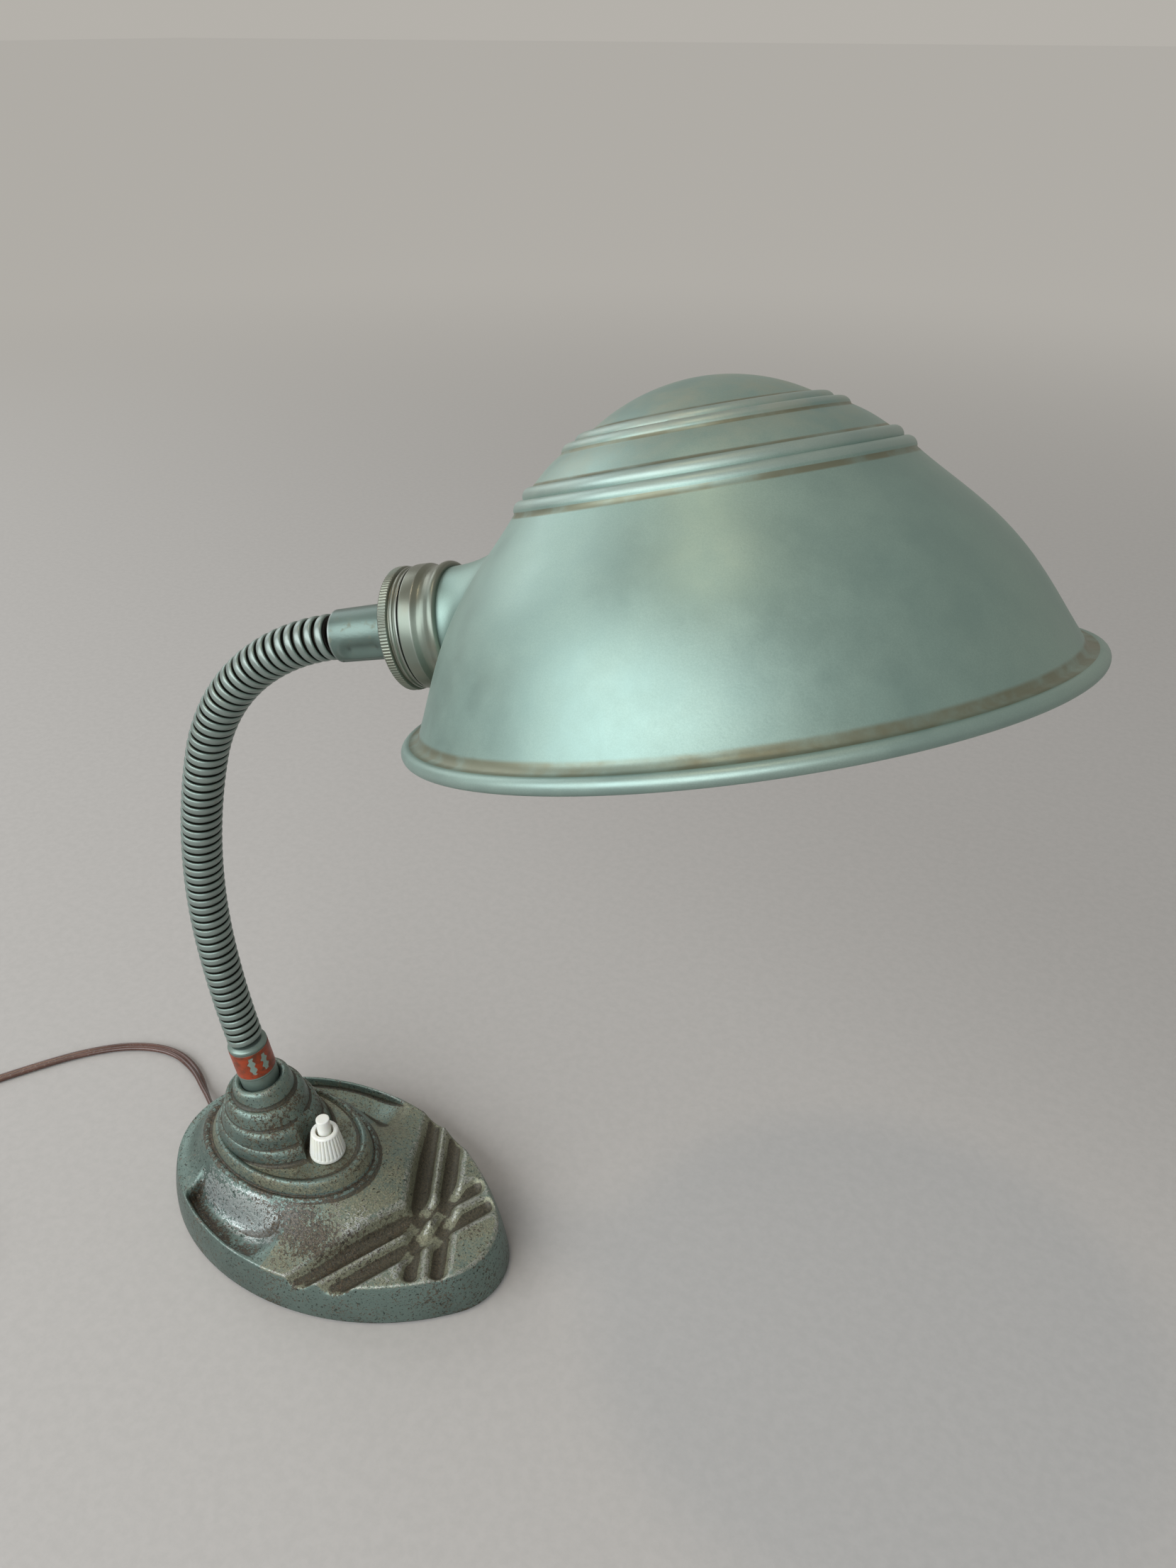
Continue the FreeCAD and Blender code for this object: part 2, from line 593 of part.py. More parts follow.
def shade_inside_edges(wall):
    edges, start, end = dome_edges(wall)
    band_end = V(BEADS_UPPER[0][0] - 0.5, 0, BEADS_UPPER[0][1] - wall)
    top = V(0, 0, CAP_TOP - wall)
    middle = V(22.0, 0, 86.4 - wall)
    edges += [Part.makeLine(end, band_end), swept_arc(band_end, middle, top)]
    return edges, start, top


def rim_bead_edges(start, end):
    """Rolled bead around the rim, from the outside of the dome to its inside."""
    middle_r, reach = SHADE_RIM_R + 1.7, RIM_BEAD_R * math.sqrt(0.5)
    side = V(middle_r + RIM_BEAD_R, 0, RIM_BEAD_R)
    bottom = V(middle_r, 0, 0)
    return [
        Part.Arc(start, V(middle_r + reach, 0, RIM_BEAD_R + reach), side).toShape(),
        Part.Arc(side, V(middle_r + reach, 0, RIM_BEAD_R - reach), bottom).toShape(),
        Part.Arc(bottom, V(middle_r - reach - 0.4, 0, RIM_BEAD_R - reach), end).toShape()]


def turned_face(edges):
    wire = Part.Wire(Part.__sortEdges__(edges))
    return Part.Face(wire).revolve(V(0, 0, 0), Z_AXIS, 360)


def dome_solid(growth):
    """Solid dome inside the lower part of the shade, grown outwards."""
    edges, start, end = dome_edges(-growth)
    edges += [Part.makeLine(end, V(0, 0, end.z)), Part.makeLine(V(0, 0, end.z), V(0, 0, start.z)),
              Part.makeLine(V(0, 0, start.z), start)]
    centre, across, up = shade_frame()
    return placed(turned_face(edges), centre, across, up)


def shade_solid():
    outer_edges, outer_start, outer_end = dome_edges(0.0)
    inner_edges, inner_start, inner_top = shade_inside_edges(SHADE_THICKNESS)
    upper = BEADS_UPPER[-1]
    cap = swept_arc(V(upper[0], 0, upper[1]), V(18.0, 0, 89.6), V(0, 0, CAP_TOP))
    lower_end = V(BEADS_LOWER[-1][0], 0, BEADS_LOWER[-1][1])
    upper_start = V(BEADS_UPPER[0][0], 0, BEADS_UPPER[0][1])
    edges = outer_edges + bead_arcs(BEADS_LOWER) + [Part.makeLine(lower_end, upper_start)]
    edges += bead_arcs(BEADS_UPPER) + [cap, Part.makeLine(V(0, 0, CAP_TOP), inner_top)]
    shell = turned_face(edges + inner_edges + rim_bead_edges(outer_start, inner_start))

    wall_edges, wall_start, wall_top = shade_inside_edges(SHADE_THICKNESS / 2)
    floor = [Part.makeLine(wall_top, V(0, 0, wall_start.z)),
             Part.makeLine(V(0, 0, wall_start.z), wall_start)]
    inside = turned_face(wall_edges + floor)
    centre, across, up = shade_frame()
    shell = placed(shell, centre, across, up)
    inside = placed(inside, centre, across, up)
    flare_end = (SPOUT_FLARE[-1][0], 62.0)
    spout = turned([(0, SPOUT_START), (SPOUT_RADIUS, SPOUT_START)] + list(SPOUT_FLARE)
                   + [flare_end, (0, 62.0)], False)
    spout = on_head(spout)
    spout = spout.cut(inside)
    bore = on_head(turned([(0, 5.0), (SPOUT_RADIUS - 0.9, 5.0), (SPOUT_RADIUS - 0.9, 70.0), (0, 70.0)], False))
    shade = shell.fuse(spout).cut(bore)
    return max(shade.Solids, key=lambda solid: solid.Volume)


def save_head():
    cap = turned([
        (5.0, 0), (18.6, 0), (COLLAR_OUTER_R, 1.0), (COLLAR_OUTER_R, KNURL_LENGTH),
        (19.0, KNURL_LENGTH + 0.2), (19.0, 4.6), (19.6, 4.8), (19.6, 5.6), (19.2, 5.8),
        (19.2, 6.2), (19.6, 6.4), (19.6, 7.2), (16.7, 7.2), (16.7, 3.0), (5.0, 3.0)], False)
    for i in range(KNURL_TEETH):
        turn = 2 * math.pi * i / KNURL_TEETH
        start = V(-1, (COLLAR_OUTER_R + 0.25) * math.cos(turn), (COLLAR_OUTER_R + 0.25) * math.sin(turn))
        cap = cap.cut(cylinder(0.55, start, X_AXIS, KNURL_LENGTH + 1.1))
    nipple = tube(5.0, 3.9, -7.0, 6.5, False)
    inner_sleeve = turned([
        (HOLDER_SLEEVE_R, 3.0), (HOLDER_SLEEVE_R, HOLDER_SLEEVE_END), (15.8, HOLDER_SLEEVE_END), (15.8, 3.0)], False)
    ceramic = turned([
        (5.1, 6.6), (15.6, 6.6), (15.6, 40.0), (14.0, 40.0), (14.0, 16.0), (11.4, 16.0),
        (11.4, 12.9), (3.0, 12.9), (3.0, 10.0), (5.1, 10.0)], False)
    shell = turned([
        (13.9, 16.0), (13.9, 38.0), (13.5, 38.0), (13.5, 16.5), (11.4, 16.5), (11.4, 16.0)], False)
    contact = turned([(0, 10.6), (2.9, 10.6), (2.9, 11.6), (1.6, 11.8), (1.6, 13.0), (0, 13.0)], False)
    screws = []
    for side in (1, -1):
        screws.append(cylinder(1.6, V(4.2, side * 9.5, 0), X_AXIS, 2.4))
    ring = turned([(HOLDER_SLEEVE_R, 40.0), (20.5, 40.0), (20.5, 44.5), (HOLDER_SLEEVE_R, 44.5)], False)
    collar = turned([
        (17.1, SHADE_COLLAR_START + 0.3), (COLLAR_OUTER_R, SHADE_COLLAR_START + 0.3),
        (COLLAR_OUTER_R, 12.2), (19.2, 13.2), (18.9, 15.0), (19.2, 16.8), (19.7, 17.6),
        (19.9, 18.6), (19.7, 19.6), (19.0, 20.0), (SPOUT_RADIUS, 20.0), (SPOUT_RADIUS, SPOUT_START),
        (17.1, SPOUT_START)], False)
    named = {"holder_cap": cap, "holder_nipple": nipple, "holder_sleeve": inner_sleeve,
             "lampholder_ceramic": ceramic, "screw_shell": shell, "centre_contact": contact,
             "holder_terminal_screws": Part.makeCompound(screws), "shade_ring": ring,
             "shade_collar": collar}
    for name, shape in named.items():
        piece = on_head(shape)
        if name == "shade_collar":
            piece = piece.cut(dome_solid(0.3))
        save(name, piece)
    save("shade", shade_solid())


def save_bulb():
    start = BULB_CONTACT_X
    contact = turned([(0, start), (3.2, start), (4.8, start + 1.4), (0, start + 1.4)], False)
    insulator = turned([(0, start + 1.4), (4.8, start + 1.4), (10.5, start + 4.2), (0, start + 4.2)], False)
    cap = turned([
        (10.5, start + 4.2), (13.1, start + 6.5), (13.1, start + 25.0), (12.6, start + 25.0),
        (12.6, start + 6.8), (10.3, start + 4.7), (0, start + 4.7), (0, start + 4.2)], False)
    centre = start + BULB_LENGTH - BULB_RADIUS
    join_x = start + 23.0
    neck_r = 12.5
    blend = V(centre - BULB_RADIUS * 0.78, 0, BULB_RADIUS * math.sqrt(1 - 0.78 ** 2))

    def glass_edges(wall):
        r = BULB_RADIUS - wall
        throat = V(blend.x + wall * 0.5, 0, blend.z - wall * 0.8)
        tip = V(centre + r, 0, 0)
        back = V(join_x, 0, neck_r - wall)
        bend = V((join_x + blend.x) / 2, 0, (neck_r + blend.z) / 2 - 0.9 - wall)
        crown = V(centre + r * 0.2, 0, r * math.sqrt(1 - 0.04))
        return [swept_arc(back, bend, throat), swept_arc(throat, crown, tip)], back, tip

    outside, outside_back, outside_tip = glass_edges(0.0)
    inside, inside_back, inside_tip = glass_edges(0.8)
    ends = [Part.makeLine(outside_back, inside_back), Part.makeLine(outside_tip, inside_tip)]
    wire = Part.Wire(Part.__sortEdges__(outside + inside + ends))
    glass = Part.Face(wire).revolve(V(0, 0, 0), X_AXIS, 360)
    for name, shape in {"bulb_contact": contact, "bulb_insulator": insulator,
                        "bulb_cap": cap, "bulb_glass": glass}.items():
        save(name, on_head(shape))


# ---------------------------------------------------------------- cord
def smooth_path(points):
    """Straight runs joined by tangent arcs, each as large as its runs allow."""
    points = [V(*point) for point in points]
    edges = []
    start = points[0]
    for before, corner, after in zip(points, points[1:], points[2:]):
        back = before - corner
        ahead = after - corner
        turn = math.pi - back.getAngle(ahead)
        cut = 0.45 * min(back.Length, ahead.Length)
        radius = cut / math.tan(turn / 2)
        enter = corner + back.normalize() * cut
        leave = corner + ahead.normalize() * cut
        middle = (back + ahead).normalize()
        centre = corner + middle * math.hypot(radius, cut)
        crest = centre - middle * radius
        edges.append(Part.makeLine(start, enter))
        edges.append(Part.Arc(enter, crest, leave).toShape())
        start = leave
    edges.append(Part.makeLine(start, points[-1]))
    return Part.Wire(edges)


def round_wire(points, diameter):
    """Solid round wire along a smoothed path."""
    path = smooth_path(points)
    direction = V(*points[1]) - V(*points[0])
    section = Part.Wire([Part.Circle(V(*points[0]), direction, diameter / 2).toShape()])
    return path.makePipeShell([section], True, False)


def save_cord():
    out = cord_exit_direction()
    section_r = CORD_DIAMETER / 2
    bushing = turned([
        (section_r, 0), (4.3, 0), (4.3, 9.0), (5.6, 9.0), (5.6, 11.0), (4.0, 12.4), (section_r, 12.4)])
    start = CORD_EXIT - out * 12.4
    save("cord_bushing", placed(bushing, start, V(0, 0, 1), out))
    inside = cylinder(section_r, CORD_EXIT - out * 28.0, out, 27.0)
    save("cord_inside", inside)
    clamp = Part.makeBox(6.0, 15.0, 3.2, V(-3.0, -7.5, 0))
    clamp = clamp.cut(cylinder(section_r, V(-5, 0, 0.2), X_AXIS, 10))
    bottom = CORD_EXIT.z - 0.2
    clamp = placed(clamp, V(clamp_centre().x, clamp_centre().y, bottom), out, Z_AXIS)
    screws = []
    for x, y in clamp_screw_places():
        clamp = clamp.cut(cylinder(CLAMP_SCREW_RADIUS + 0.1, V(x, y, bottom - 1.0), Z_AXIS, 6.0))
        screw = cylinder(CLAMP_SCREW_RADIUS, V(x, y, bottom), Z_AXIS, 7.5)
        screws.append(screw.fuse(cylinder(2.2, V(x, y, bottom - 1.4), Z_AXIS, 1.4)))
    save("cord_clamp", clamp)
    save("cord_clamp_screws", Part.makeCompound(screws))

    lead = round_wire(CORD_ROUTE, CORD_DIAMETER)
    coil = turned([
        (COIL_RADIUS - COIL_HALF_BREADTH, COIL_BOTTOM), (COIL_RADIUS + COIL_HALF_BREADTH, COIL_BOTTOM),
        (COIL_RADIUS + COIL_HALF_BREADTH, COIL_TOP), (COIL_RADIUS - COIL_HALF_BREADTH, COIL_TOP)])
    coil.translate(COIL_CENTRE)
    save("power_cord", lead.cut(coil))
    save("cord_coil", coil)
    outer = Part.makeBox(7.0, 2 * COIL_HALF_BREADTH + 2 * TIE_THICKNESS,
                         COIL_TOP - COIL_BOTTOM + 2 * TIE_THICKNESS,
                         V(-3.5, -COIL_HALF_BREADTH - TIE_THICKNESS, COIL_BOTTOM - TIE_THICKNESS))
    inner = Part.makeBox(9.0, 2 * COIL_HALF_BREADTH, COIL_TOP - COIL_BOTTOM,
                         V(-4.5, -COIL_HALF_BREADTH, COIL_BOTTOM))
    tie = outer.cut(inner)
    tie.translate(V(COIL_CENTRE.x, COIL_CENTRE.y + COIL_RADIUS, 0))
    tie = tie.cut(coil)
    save("cord_tie", tie)

    start_x = COIL_CENTRE.x + 27.0
    tail_y = PLUG_Y
    relief = turned([(0, 0), (3.2, 0), (4.6, 18.0), (0, 18.0)], False)
    relief.translate(V(start_x, tail_y, PLUG_Z))
    block = Part.makeBox(25.0, 35.0, 13.6, V(start_x + 18.0, tail_y - 17.5, PLUG_Z - 6.8))
    block = rounded(block, 3.0, lambda edge: edge.BoundBox.XLength < 0.01 or edge.BoundBox.ZLength > 10)
    save("plug_body", block.fuse(relief).removeSplitter())
    pins = []
    for side in (1, -1):
        pin = cylinder(2.0, V(start_x + 43.0, tail_y + side * 9.3, PLUG_Z), X_AXIS, 17.2)
        pins.append(pin.fuse(Part.makeSphere(2.0, V(start_x + 60.2, tail_y + side * 9.3, PLUG_Z))))
    save("plug_pins", Part.makeCompound(pins))
    tail = cylinder(section_r, V(COIL_CENTRE.x + 12.0, tail_y, PLUG_Z), X_AXIS, 15.0)
    save("cord_tail", tail.cut(coil))


os.makedirs("parts", exist_ok=True)
save_base()
save_switch()
save_neck()
save_head()
save_bulb()
save_cord()
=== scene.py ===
"""Gooseneck desk lamp: modelled pieces, finishes, flex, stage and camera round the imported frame.

Shapes are worked out in millimetres and written to the meshes in metres.
"""
import math

import bpy
import numpy as np
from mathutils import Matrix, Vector


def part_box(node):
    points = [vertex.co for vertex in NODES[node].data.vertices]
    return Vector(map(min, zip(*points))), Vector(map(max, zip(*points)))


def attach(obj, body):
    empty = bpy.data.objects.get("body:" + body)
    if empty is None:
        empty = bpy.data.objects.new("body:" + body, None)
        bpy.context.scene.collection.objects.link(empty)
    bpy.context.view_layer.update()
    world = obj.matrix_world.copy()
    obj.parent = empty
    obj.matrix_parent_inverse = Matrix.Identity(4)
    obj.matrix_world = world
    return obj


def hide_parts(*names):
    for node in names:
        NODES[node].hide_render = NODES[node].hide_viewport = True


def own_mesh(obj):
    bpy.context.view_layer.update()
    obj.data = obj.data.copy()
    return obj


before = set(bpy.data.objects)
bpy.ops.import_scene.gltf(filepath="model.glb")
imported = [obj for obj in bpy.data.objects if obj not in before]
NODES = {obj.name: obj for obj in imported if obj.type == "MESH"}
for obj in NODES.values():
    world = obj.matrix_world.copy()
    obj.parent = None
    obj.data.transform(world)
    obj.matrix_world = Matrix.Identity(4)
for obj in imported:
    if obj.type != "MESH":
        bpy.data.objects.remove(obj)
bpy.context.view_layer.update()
MM = 0.001

bl_info = {
    "name": "Gooseneck Desk Lamp",
    "version": (1, 0, 0),
    "blender": (4, 5, 0),
    "location": "3D View > Sidebar > Lamp",
    "description": "Builds an old painted gooseneck desk lamp with its flex and stage",
    "category": "Object",
}

# ------------------------------------------------------------- shared shape (millimetres)
BASE_REAR_CENTRE_X = -6.5
BASE_REAR_LENGTH = 80.4
BASE_NOSE_RADIUS = 27.6
FELT_TOP = 1.5
DECK_EDGE_REAR_Z, DECK_EDGE_NOSE_Z = 19.0, 22.5
WALL_INSET, NOSE_EXTRA_INSET = 3.0, 2.0
# rings of the boss, from the flange to the collar: centre x, half length, half breadth, height
FLANGE_FOOT = (-26.0, 45.7, 30.6, 30.5)
BOSS_RINGS = (
    (-25.6, 44.4, 29.7, 31.9), (-25.2, 42.9, 28.4, 31.7), (-24.6, 42.0, 27.9, 31.3),
    (-24.5, 39.6, 27.0, 36.4), (-24.6, 37.9, 26.1, 38.4), (-24.6, 36.4, 24.7, 38.3),
    (-24.6, 35.0, 23.4, 36.5), (-32.0, 29.6, 23.3, 36.5), (-33.8, 28.4, 22.6, 36.9),
    (-34.2, 26.8, 21.7, 41.8), (-34.3, 25.4, 20.9, 43.6), (-34.4, 24.4, 20.6, 43.3),
    (-34.4, 23.8, 20.6, 43.9), (-34.5, 22.4, 20.0, 49.9), (-34.8, 20.9, 18.9, 51.8),
    (-35.3, 19.6, 18.1, 51.5), (-35.4, 19.2, 18.0, 52.2), (-35.9, 18.0, 17.0, 58.2),
    (-36.4, 16.5, 15.6, 60.1), (-37.0, 14.6, 14.3, 59.8),
)
PLATEAU_Z = 36.5
STEP_Z = 37.5                      # the boss's steps are above this
# rings of the collar round the neck's foot: radius, drop below the neck's root
COLLAR_RINGS = ((13.5, 6.4), (12.6, 1.2), (11.2, 0.0), (9.9, 0.3), (8.7, 1.6), (8.6, 5.0))
RING_GAP = 0.75
CASTING_SEGMENTS, WALL_RINGS, DECK_RINGS = 520, 26, 74

GROOVE_X = (45.6, 58.4)            # pen grooves, where they cross the middle line
GROOVE_ANGLE = 61.8
GROOVE_RADIUS = 5.3
GROOVE_OUTER_RUN = 62.0
GROOVE_INNER_RUN = (33.5, 26.5)
GROOVE_FLOOR_OUTER_Z, GROOVE_FLOOR_INNER_Z = 15.6, 18.4
TRAY_RADIUS, TRAY_FLOOR_Z, TRAY_LIP = 27.0, 13.6, 5.2
TRAY_BLEND, GROOVE_BLEND = 3.2, 2.6
TRAYS = (((-53.0, -36.5), (-22.0, -42.5)), ((-58.0, 33.5), (-14.0, 42.0)))

SWITCH_X = -3.0
SWITCH_FLUTES = 26
SWITCH_COLLAR_R = 8.0
BUTTON_R, BUTTON_STEM_R, BUTTON_FLANGE_Z = 4.0, 3.0, 26.2
SPRING_WIRE_R = 0.35
SPRING_TURNS = 4

NECK_ROOT = (-37.2, 0.0, 67.5)
NECK_PLANE_AZIMUTH = 13.77
NECK_START_ANGLE = -8.0
FERRULE_LENGTH = 23.0
NECK_ARCS = ((FERRULE_LENGTH, 0.0), (53.5, 7.0), (95.6, 19.5), (22.0, 13.5), (62.3, 45.0))
LINK_COUNT, BANDS_PER_LINK, BAND_PITCH = 15, 4, 3.89
SLEEVE_LENGTH, SLEEVE_RADIUS = 26.0, 8.8
NECK_BORE_RADIUS = 4.6
BAND_TILT = 5.5                    # degrees that each wound band leans
BAND_HALF_WIDTH = 1.40
CORE_RADIUS = 6.15
PAINT_FROM, PAINT_TO = 5.7, 18.8   # painted band along the ferrule
DIMPLE_SIDE, DIMPLE_MIDDLE, DIMPLE_REACH, DIMPLE_DEPTH = -75.0, 13.0, 4.6, 1.4
CREASE_SIDE, CREASE_HALF_WIDTH, CREASE_DEPTH = -40.0, 0.45, 0.22
KNURL_TEETH = 120
SHADE_DISTANCE, SHADE_AXIS_DROP = 106.4, 30.8
SHADE_AXIS = (-0.2965, 0.1997, 0.934)
SHADE_WALL = 0.9
CAP_TOP = 92.5
DOME_POINTS = ((98.2, 3.4), (92.2, 16.0), (84.0, 32.5), (71.5, 49.0), (57.6, 63.8))
BEADS_LOWER = ((57.6, 63.8), (54.4, 67.3), (51.1, 70.5))
BEADS_UPPER = ((41.3, 78.1), (37.1, 80.4), (32.7, 82.4))
BEAD_PROUD = 1.3
SPOUT_RADIUS = 18.0
SPOUT_START, SPOUT_STEM_END, SPOUT_FLARE_START = 13.2, 17.0, 19.0
RIM_ZONE = 2.0                     # nothing meets the dome below this height
SHADE_SEGMENTS = 256
BULB_TIP = 91.0                    # along the lampholder's axis

# the flex: its route from the base to the coil, in metres, then the coil's turns
CORD_ROUTE = (
    (-0.0885, 0.0101, 0.0065), (-0.1030, 0.0186, 0.0034), (-0.1190, 0.0286, 0.0024),
    (-0.1405, 0.0336, 0.0018), (-0.1630, 0.0258, 0.0015), (-0.1820, 0.0090, 0.0015),
    (-0.1980, -0.0130, 0.0015), (-0.2135, -0.0370, 0.0015), (-0.2270, -0.0648, 0.0015),
)
COIL_CENTRE = (-0.212, -0.093)
COIL_TURNS = ((31.8, 1.5), (27.0, 1.5), (22.2, 1.5), (22.2, 4.3), (27.0, 4.3), (31.8, 4.3),
              (31.8, 7.1), (27.0, 7.1), (22.2, 7.1), (27.0, 9.8))
COIL_START, COIL_END = 150.0, 270.0
PLUG_START = (-0.185, -0.120, 0.007)
FLEX_STEP = 0.0018
EXIT_TWIST, TWIST_FROM, TWIST_RUN = 78.0, 0.012, 0.034
RELIEF_LENGTH, RIB_COUNT, RIB_PITCH = 18.0, 8, 2.2     # millimetres

# the stage, in metres
BACKDROP = (0.46, 0.44, 0.405)       # colour of the room beyond the floor
FLOOR_HALF_SIZE = 30.0
FLOOR_FADE = (0.45, 2.4, 0.0, 0.9)   # two distances, and how far the floor has turned to backdrop at each
ROOM_LIGHT, ROOM_STRENGTH = (0.92, 0.96, 1.0), 0.36
LIGHT_TARGET = (0.03, 0.0, 0.16)
# each light's name, place, width, power and colour
LIGHTS = (("key", (-0.35, -1.45, 1.15), 3.0, 52.0, (0.90, 0.95, 1.0)),
          ("side", (-1.6, 0.5, 1.1), 1.1, 8.0, (0.90, 0.95, 1.0)),
          ("warm", (-0.33, -0.09, 2.2), 0.2, 4.5, (1.0, 0.80, 0.60)))
LIGHT_HEIGHT = 1.3                   # at most
CAMERA_LENS = 27.05
CAMERA_PLACE = (0.27125, -0.25557, 0.465)
CAMERA_HEADING, CAMERA_PITCH = (-0.4813, 0.8766, 0.0), 33.0


# ------------------------------------------------------------- what a user would change
def length(label, words, default):
    return bpy.props.FloatProperty(name=label, description=words, default=default,
                                   unit="LENGTH", min=0.0001, precision=4)


def colour(label, words, default):
    return bpy.props.FloatVectorProperty(name=label, description=words, default=default,
                                         subtype="COLOR", size=3, min=0.0, max=1.0)


class LampSizes(bpy.types.PropertyGroup):
    """Sizes of the lamp's main pieces."""
    base_half_width: length("Base half width", "Half the width of the base", 0.0554)
    base_nose: length("Base nose", "From the middle of the base to the tip of its nose", 0.0869)
    band_radius: length("Neck radius", "Outside radius of the neck's bands", 0.00775)
    ferrule_radius: length("Ferrule radius", "Outside radius of the ferrule", 0.0085)
    holder_radius: length("Holder radius", "Outside radius of the lampholder's rings", 0.02)
    shade_rim_radius: length("Rim radius", "Radius of the middle of the shade's rolled rim", 0.1003)
    rim_bead: length("Rim bead", "Radius of the shade's rolled rim", 0.0023)
    bulb_radius: length("Bulb radius", "Radius of the bulb's round end", 0.0225)
    flex_width: length("Flex width", "Width of the flat twin flex", 0.0048)
    flex_thickness: length("Flex thickness", "Thickness of the flat twin flex", 0.0026)


class LampColours(bpy.types.PropertyGroup):
    """Base colours of the lamp's finishes."""
    paint: colour("Paint", "Metallic green-grey paint of the shade and neck", (0.265, 0.345, 0.300))
    cast_paint: colour("Casting paint", "Metallic paint of the base", (0.138, 0.188, 0.165))
    bare_metal: colour("Bare metal", "Worn edges and polished slopes", (0.55, 0.56, 0.54))
    rust: colour("Rust", "Brown rust", (0.052, 0.037, 0.020))
    # this colour is also laid as a painted shadow round the switch pocket
    grime_and_shade: colour("Grime", "Dark dirt in the valleys", (0.016, 0.013, 0.008))
    olive: colour("Olive", "Olive film on the deck and in the grooves", (0.200, 0.190, 0.120))
    patina: colour("Patina", "Darkened metal of the lampholder's rings", (0.30, 0.315, 0.245))
    ferrule_band: colour("Ferrule band", "Orange-red band on the ferrule", (0.25, 0.022, 0.006))
    switch_white: colour("Switch", "Plastic of the switch", (0.80, 0.79, 0.73))
    flex: colour("Flex", "Brown plastic of the flex", (0.075, 0.032, 0.022))
    floor: colour("Floor", "Pale floor", (0.43, 0.405, 0.375))


def sizes():
    return bpy.context.scene.lamp_sizes


def colours():
    return bpy.context.scene.lamp_colours


# ------------------------------------------------------------- meshes
def unit(vector):
    vector = np.asarray(vector, float)
    return vector / np.linalg.norm(vector)


def wrapped(angle):
    """Angle brought to within half a turn of 0."""
    return np.arctan2(np.sin(angle), np.cos(angle))


def eased(share):
    return share * share * (3 - 2 * share)


def mark_points(mesh, mark, values):
    attribute = mesh.attributes.new(mark, "FLOAT", "POINT")
    attribute.data.foreach_set("value", np.asarray(values, np.float32).ravel())


def mesh_piece(name, points, faces, slots=None, marks=None, sharp=38.0):
    """New object from points in millimetres, with smooth faces and marks painted on its points."""
    mesh = bpy.data.meshes.new(name)
    mesh.from_pydata((np.asarray(points) * MM).tolist(), [], faces)
    mesh.polygons.foreach_set("use_smooth", [True] * len(mesh.polygons))
    if slots is not None:
        mesh.polygons.foreach_set("material_index", slots)
    for mark, values in (marks or {}).items():
        mark_points(mesh, mark, values)
    mesh.set_sharp_from_angle(angle=math.radians(sharp))
    mesh.validate()
    mesh.update()
    piece = bpy.data.objects.new(name, mesh)
    bpy.context.scene.collection.objects.link(piece)
    return piece


def ring_faces(row_count, ring_size, offset=0, joined=False):
    """Faces between rings of points; joined links the last ring back to the first."""
    faces = []
    for row in range(row_count if joined else row_count - 1):
        low, high = offset + row * ring_size, offset + (row + 1) % row_count * ring_size
        for i in range(ring_size):
            j = (i + 1) % ring_size
            faces.append((low + i, low + j, high + j, high + i))
    return faces


def ring_piece(name, rows, joined=False, capped=(False, False), slots=None, marks=None, sharp=38.0):
    """Piece from closed rings of points, with slots for the faces above each ring."""
    rows = np.asarray(rows, float)
    count, size = rows.shape[:2]
    faces = ring_faces(count, size, joined=joined)
    if capped[0]:
        faces.append(tuple(reversed(range(size))))
    if capped[1]:
        faces.append(tuple(range((count - 1) * size, count * size)))
    if slots is not None:
        slots = [slots[min(i // size, count - 1)] for i in range(len(faces))]
    return mesh_piece(name, rows.reshape(-1, 3), faces, slots, marks, sharp)


def softened(profile, reach=0.35, steps=3, closed=True):
    """Profile with each corner turned into a short curve."""
    points = [np.asarray(p, float) for p in profile]
    out = []
    count = len(points)
    for i, corner in enumerate(points):
        if not closed and i in (0, count - 1):
            out.append(corner)
            continue
        back, ahead = points[i - 1] - corner, points[(i + 1) % count] - corner
        cut = min(reach, 0.45 * np.linalg.norm(back), 0.45 * np.linalg.norm(ahead))
        if cut < 0.02:
            out.append(corner)
            continue
        start, end = corner + unit(back) * cut, corner + unit(ahead) * cut
        for step in range(steps + 1):
            t = step / steps
            out.append((1 - t) ** 2 * start + 2 * t * (1 - t) * corner + t * t * end)
    return out


def turned(name, profile, place, segments=96, ripple=None, closed=True, slots=None, sharp=38.0):
    """Lathed piece: profile of (radius, distance along the axis), set in a place frame."""
    turn = full_turn(segments)
    rows = []
    for radius, along in profile:
        ring = np.full(segments, float(radius))
        if ripple is not None:
            ring = ripple(ring, along, turn)
        rows.append(ring_at(place, ring, along, turn))
    rows = np.array(rows)
    return ring_piece(name, rows, joined=closed, capped=(not closed,) * 2, slots=slots,
                      marks={"edge": relief(rows, closed)}, sharp=sharp)


def relief(rows, closed=False, passes=3):
    """How far each point stands proud of its neighbours: above 0 on edges, below 0 in valleys."""
    rows = np.asarray(rows)
    soft = rows.copy()
    for _ in range(passes):
        above, below = np.roll(soft, -1, 0), np.roll(soft, 1, 0)
        if not closed:
            above[-1], below[0] = soft[-1], soft[0]
        beside = (np.roll(soft, 1, 1) + np.roll(soft, -1, 1)) / 2
        soft = 0.4 * soft + 0.2 * (above + below) + 0.2 * beside
    along = np.gradient(rows, axis=0)
    round_ = np.roll(rows, -1, 1) - np.roll(rows, 1, 1)
    normal = np.cross(round_, along)
    normal /= np.maximum(np.linalg.norm(normal, axis=2, keepdims=True), 1e-9)
    return ((rows - soft) * normal).sum(2)


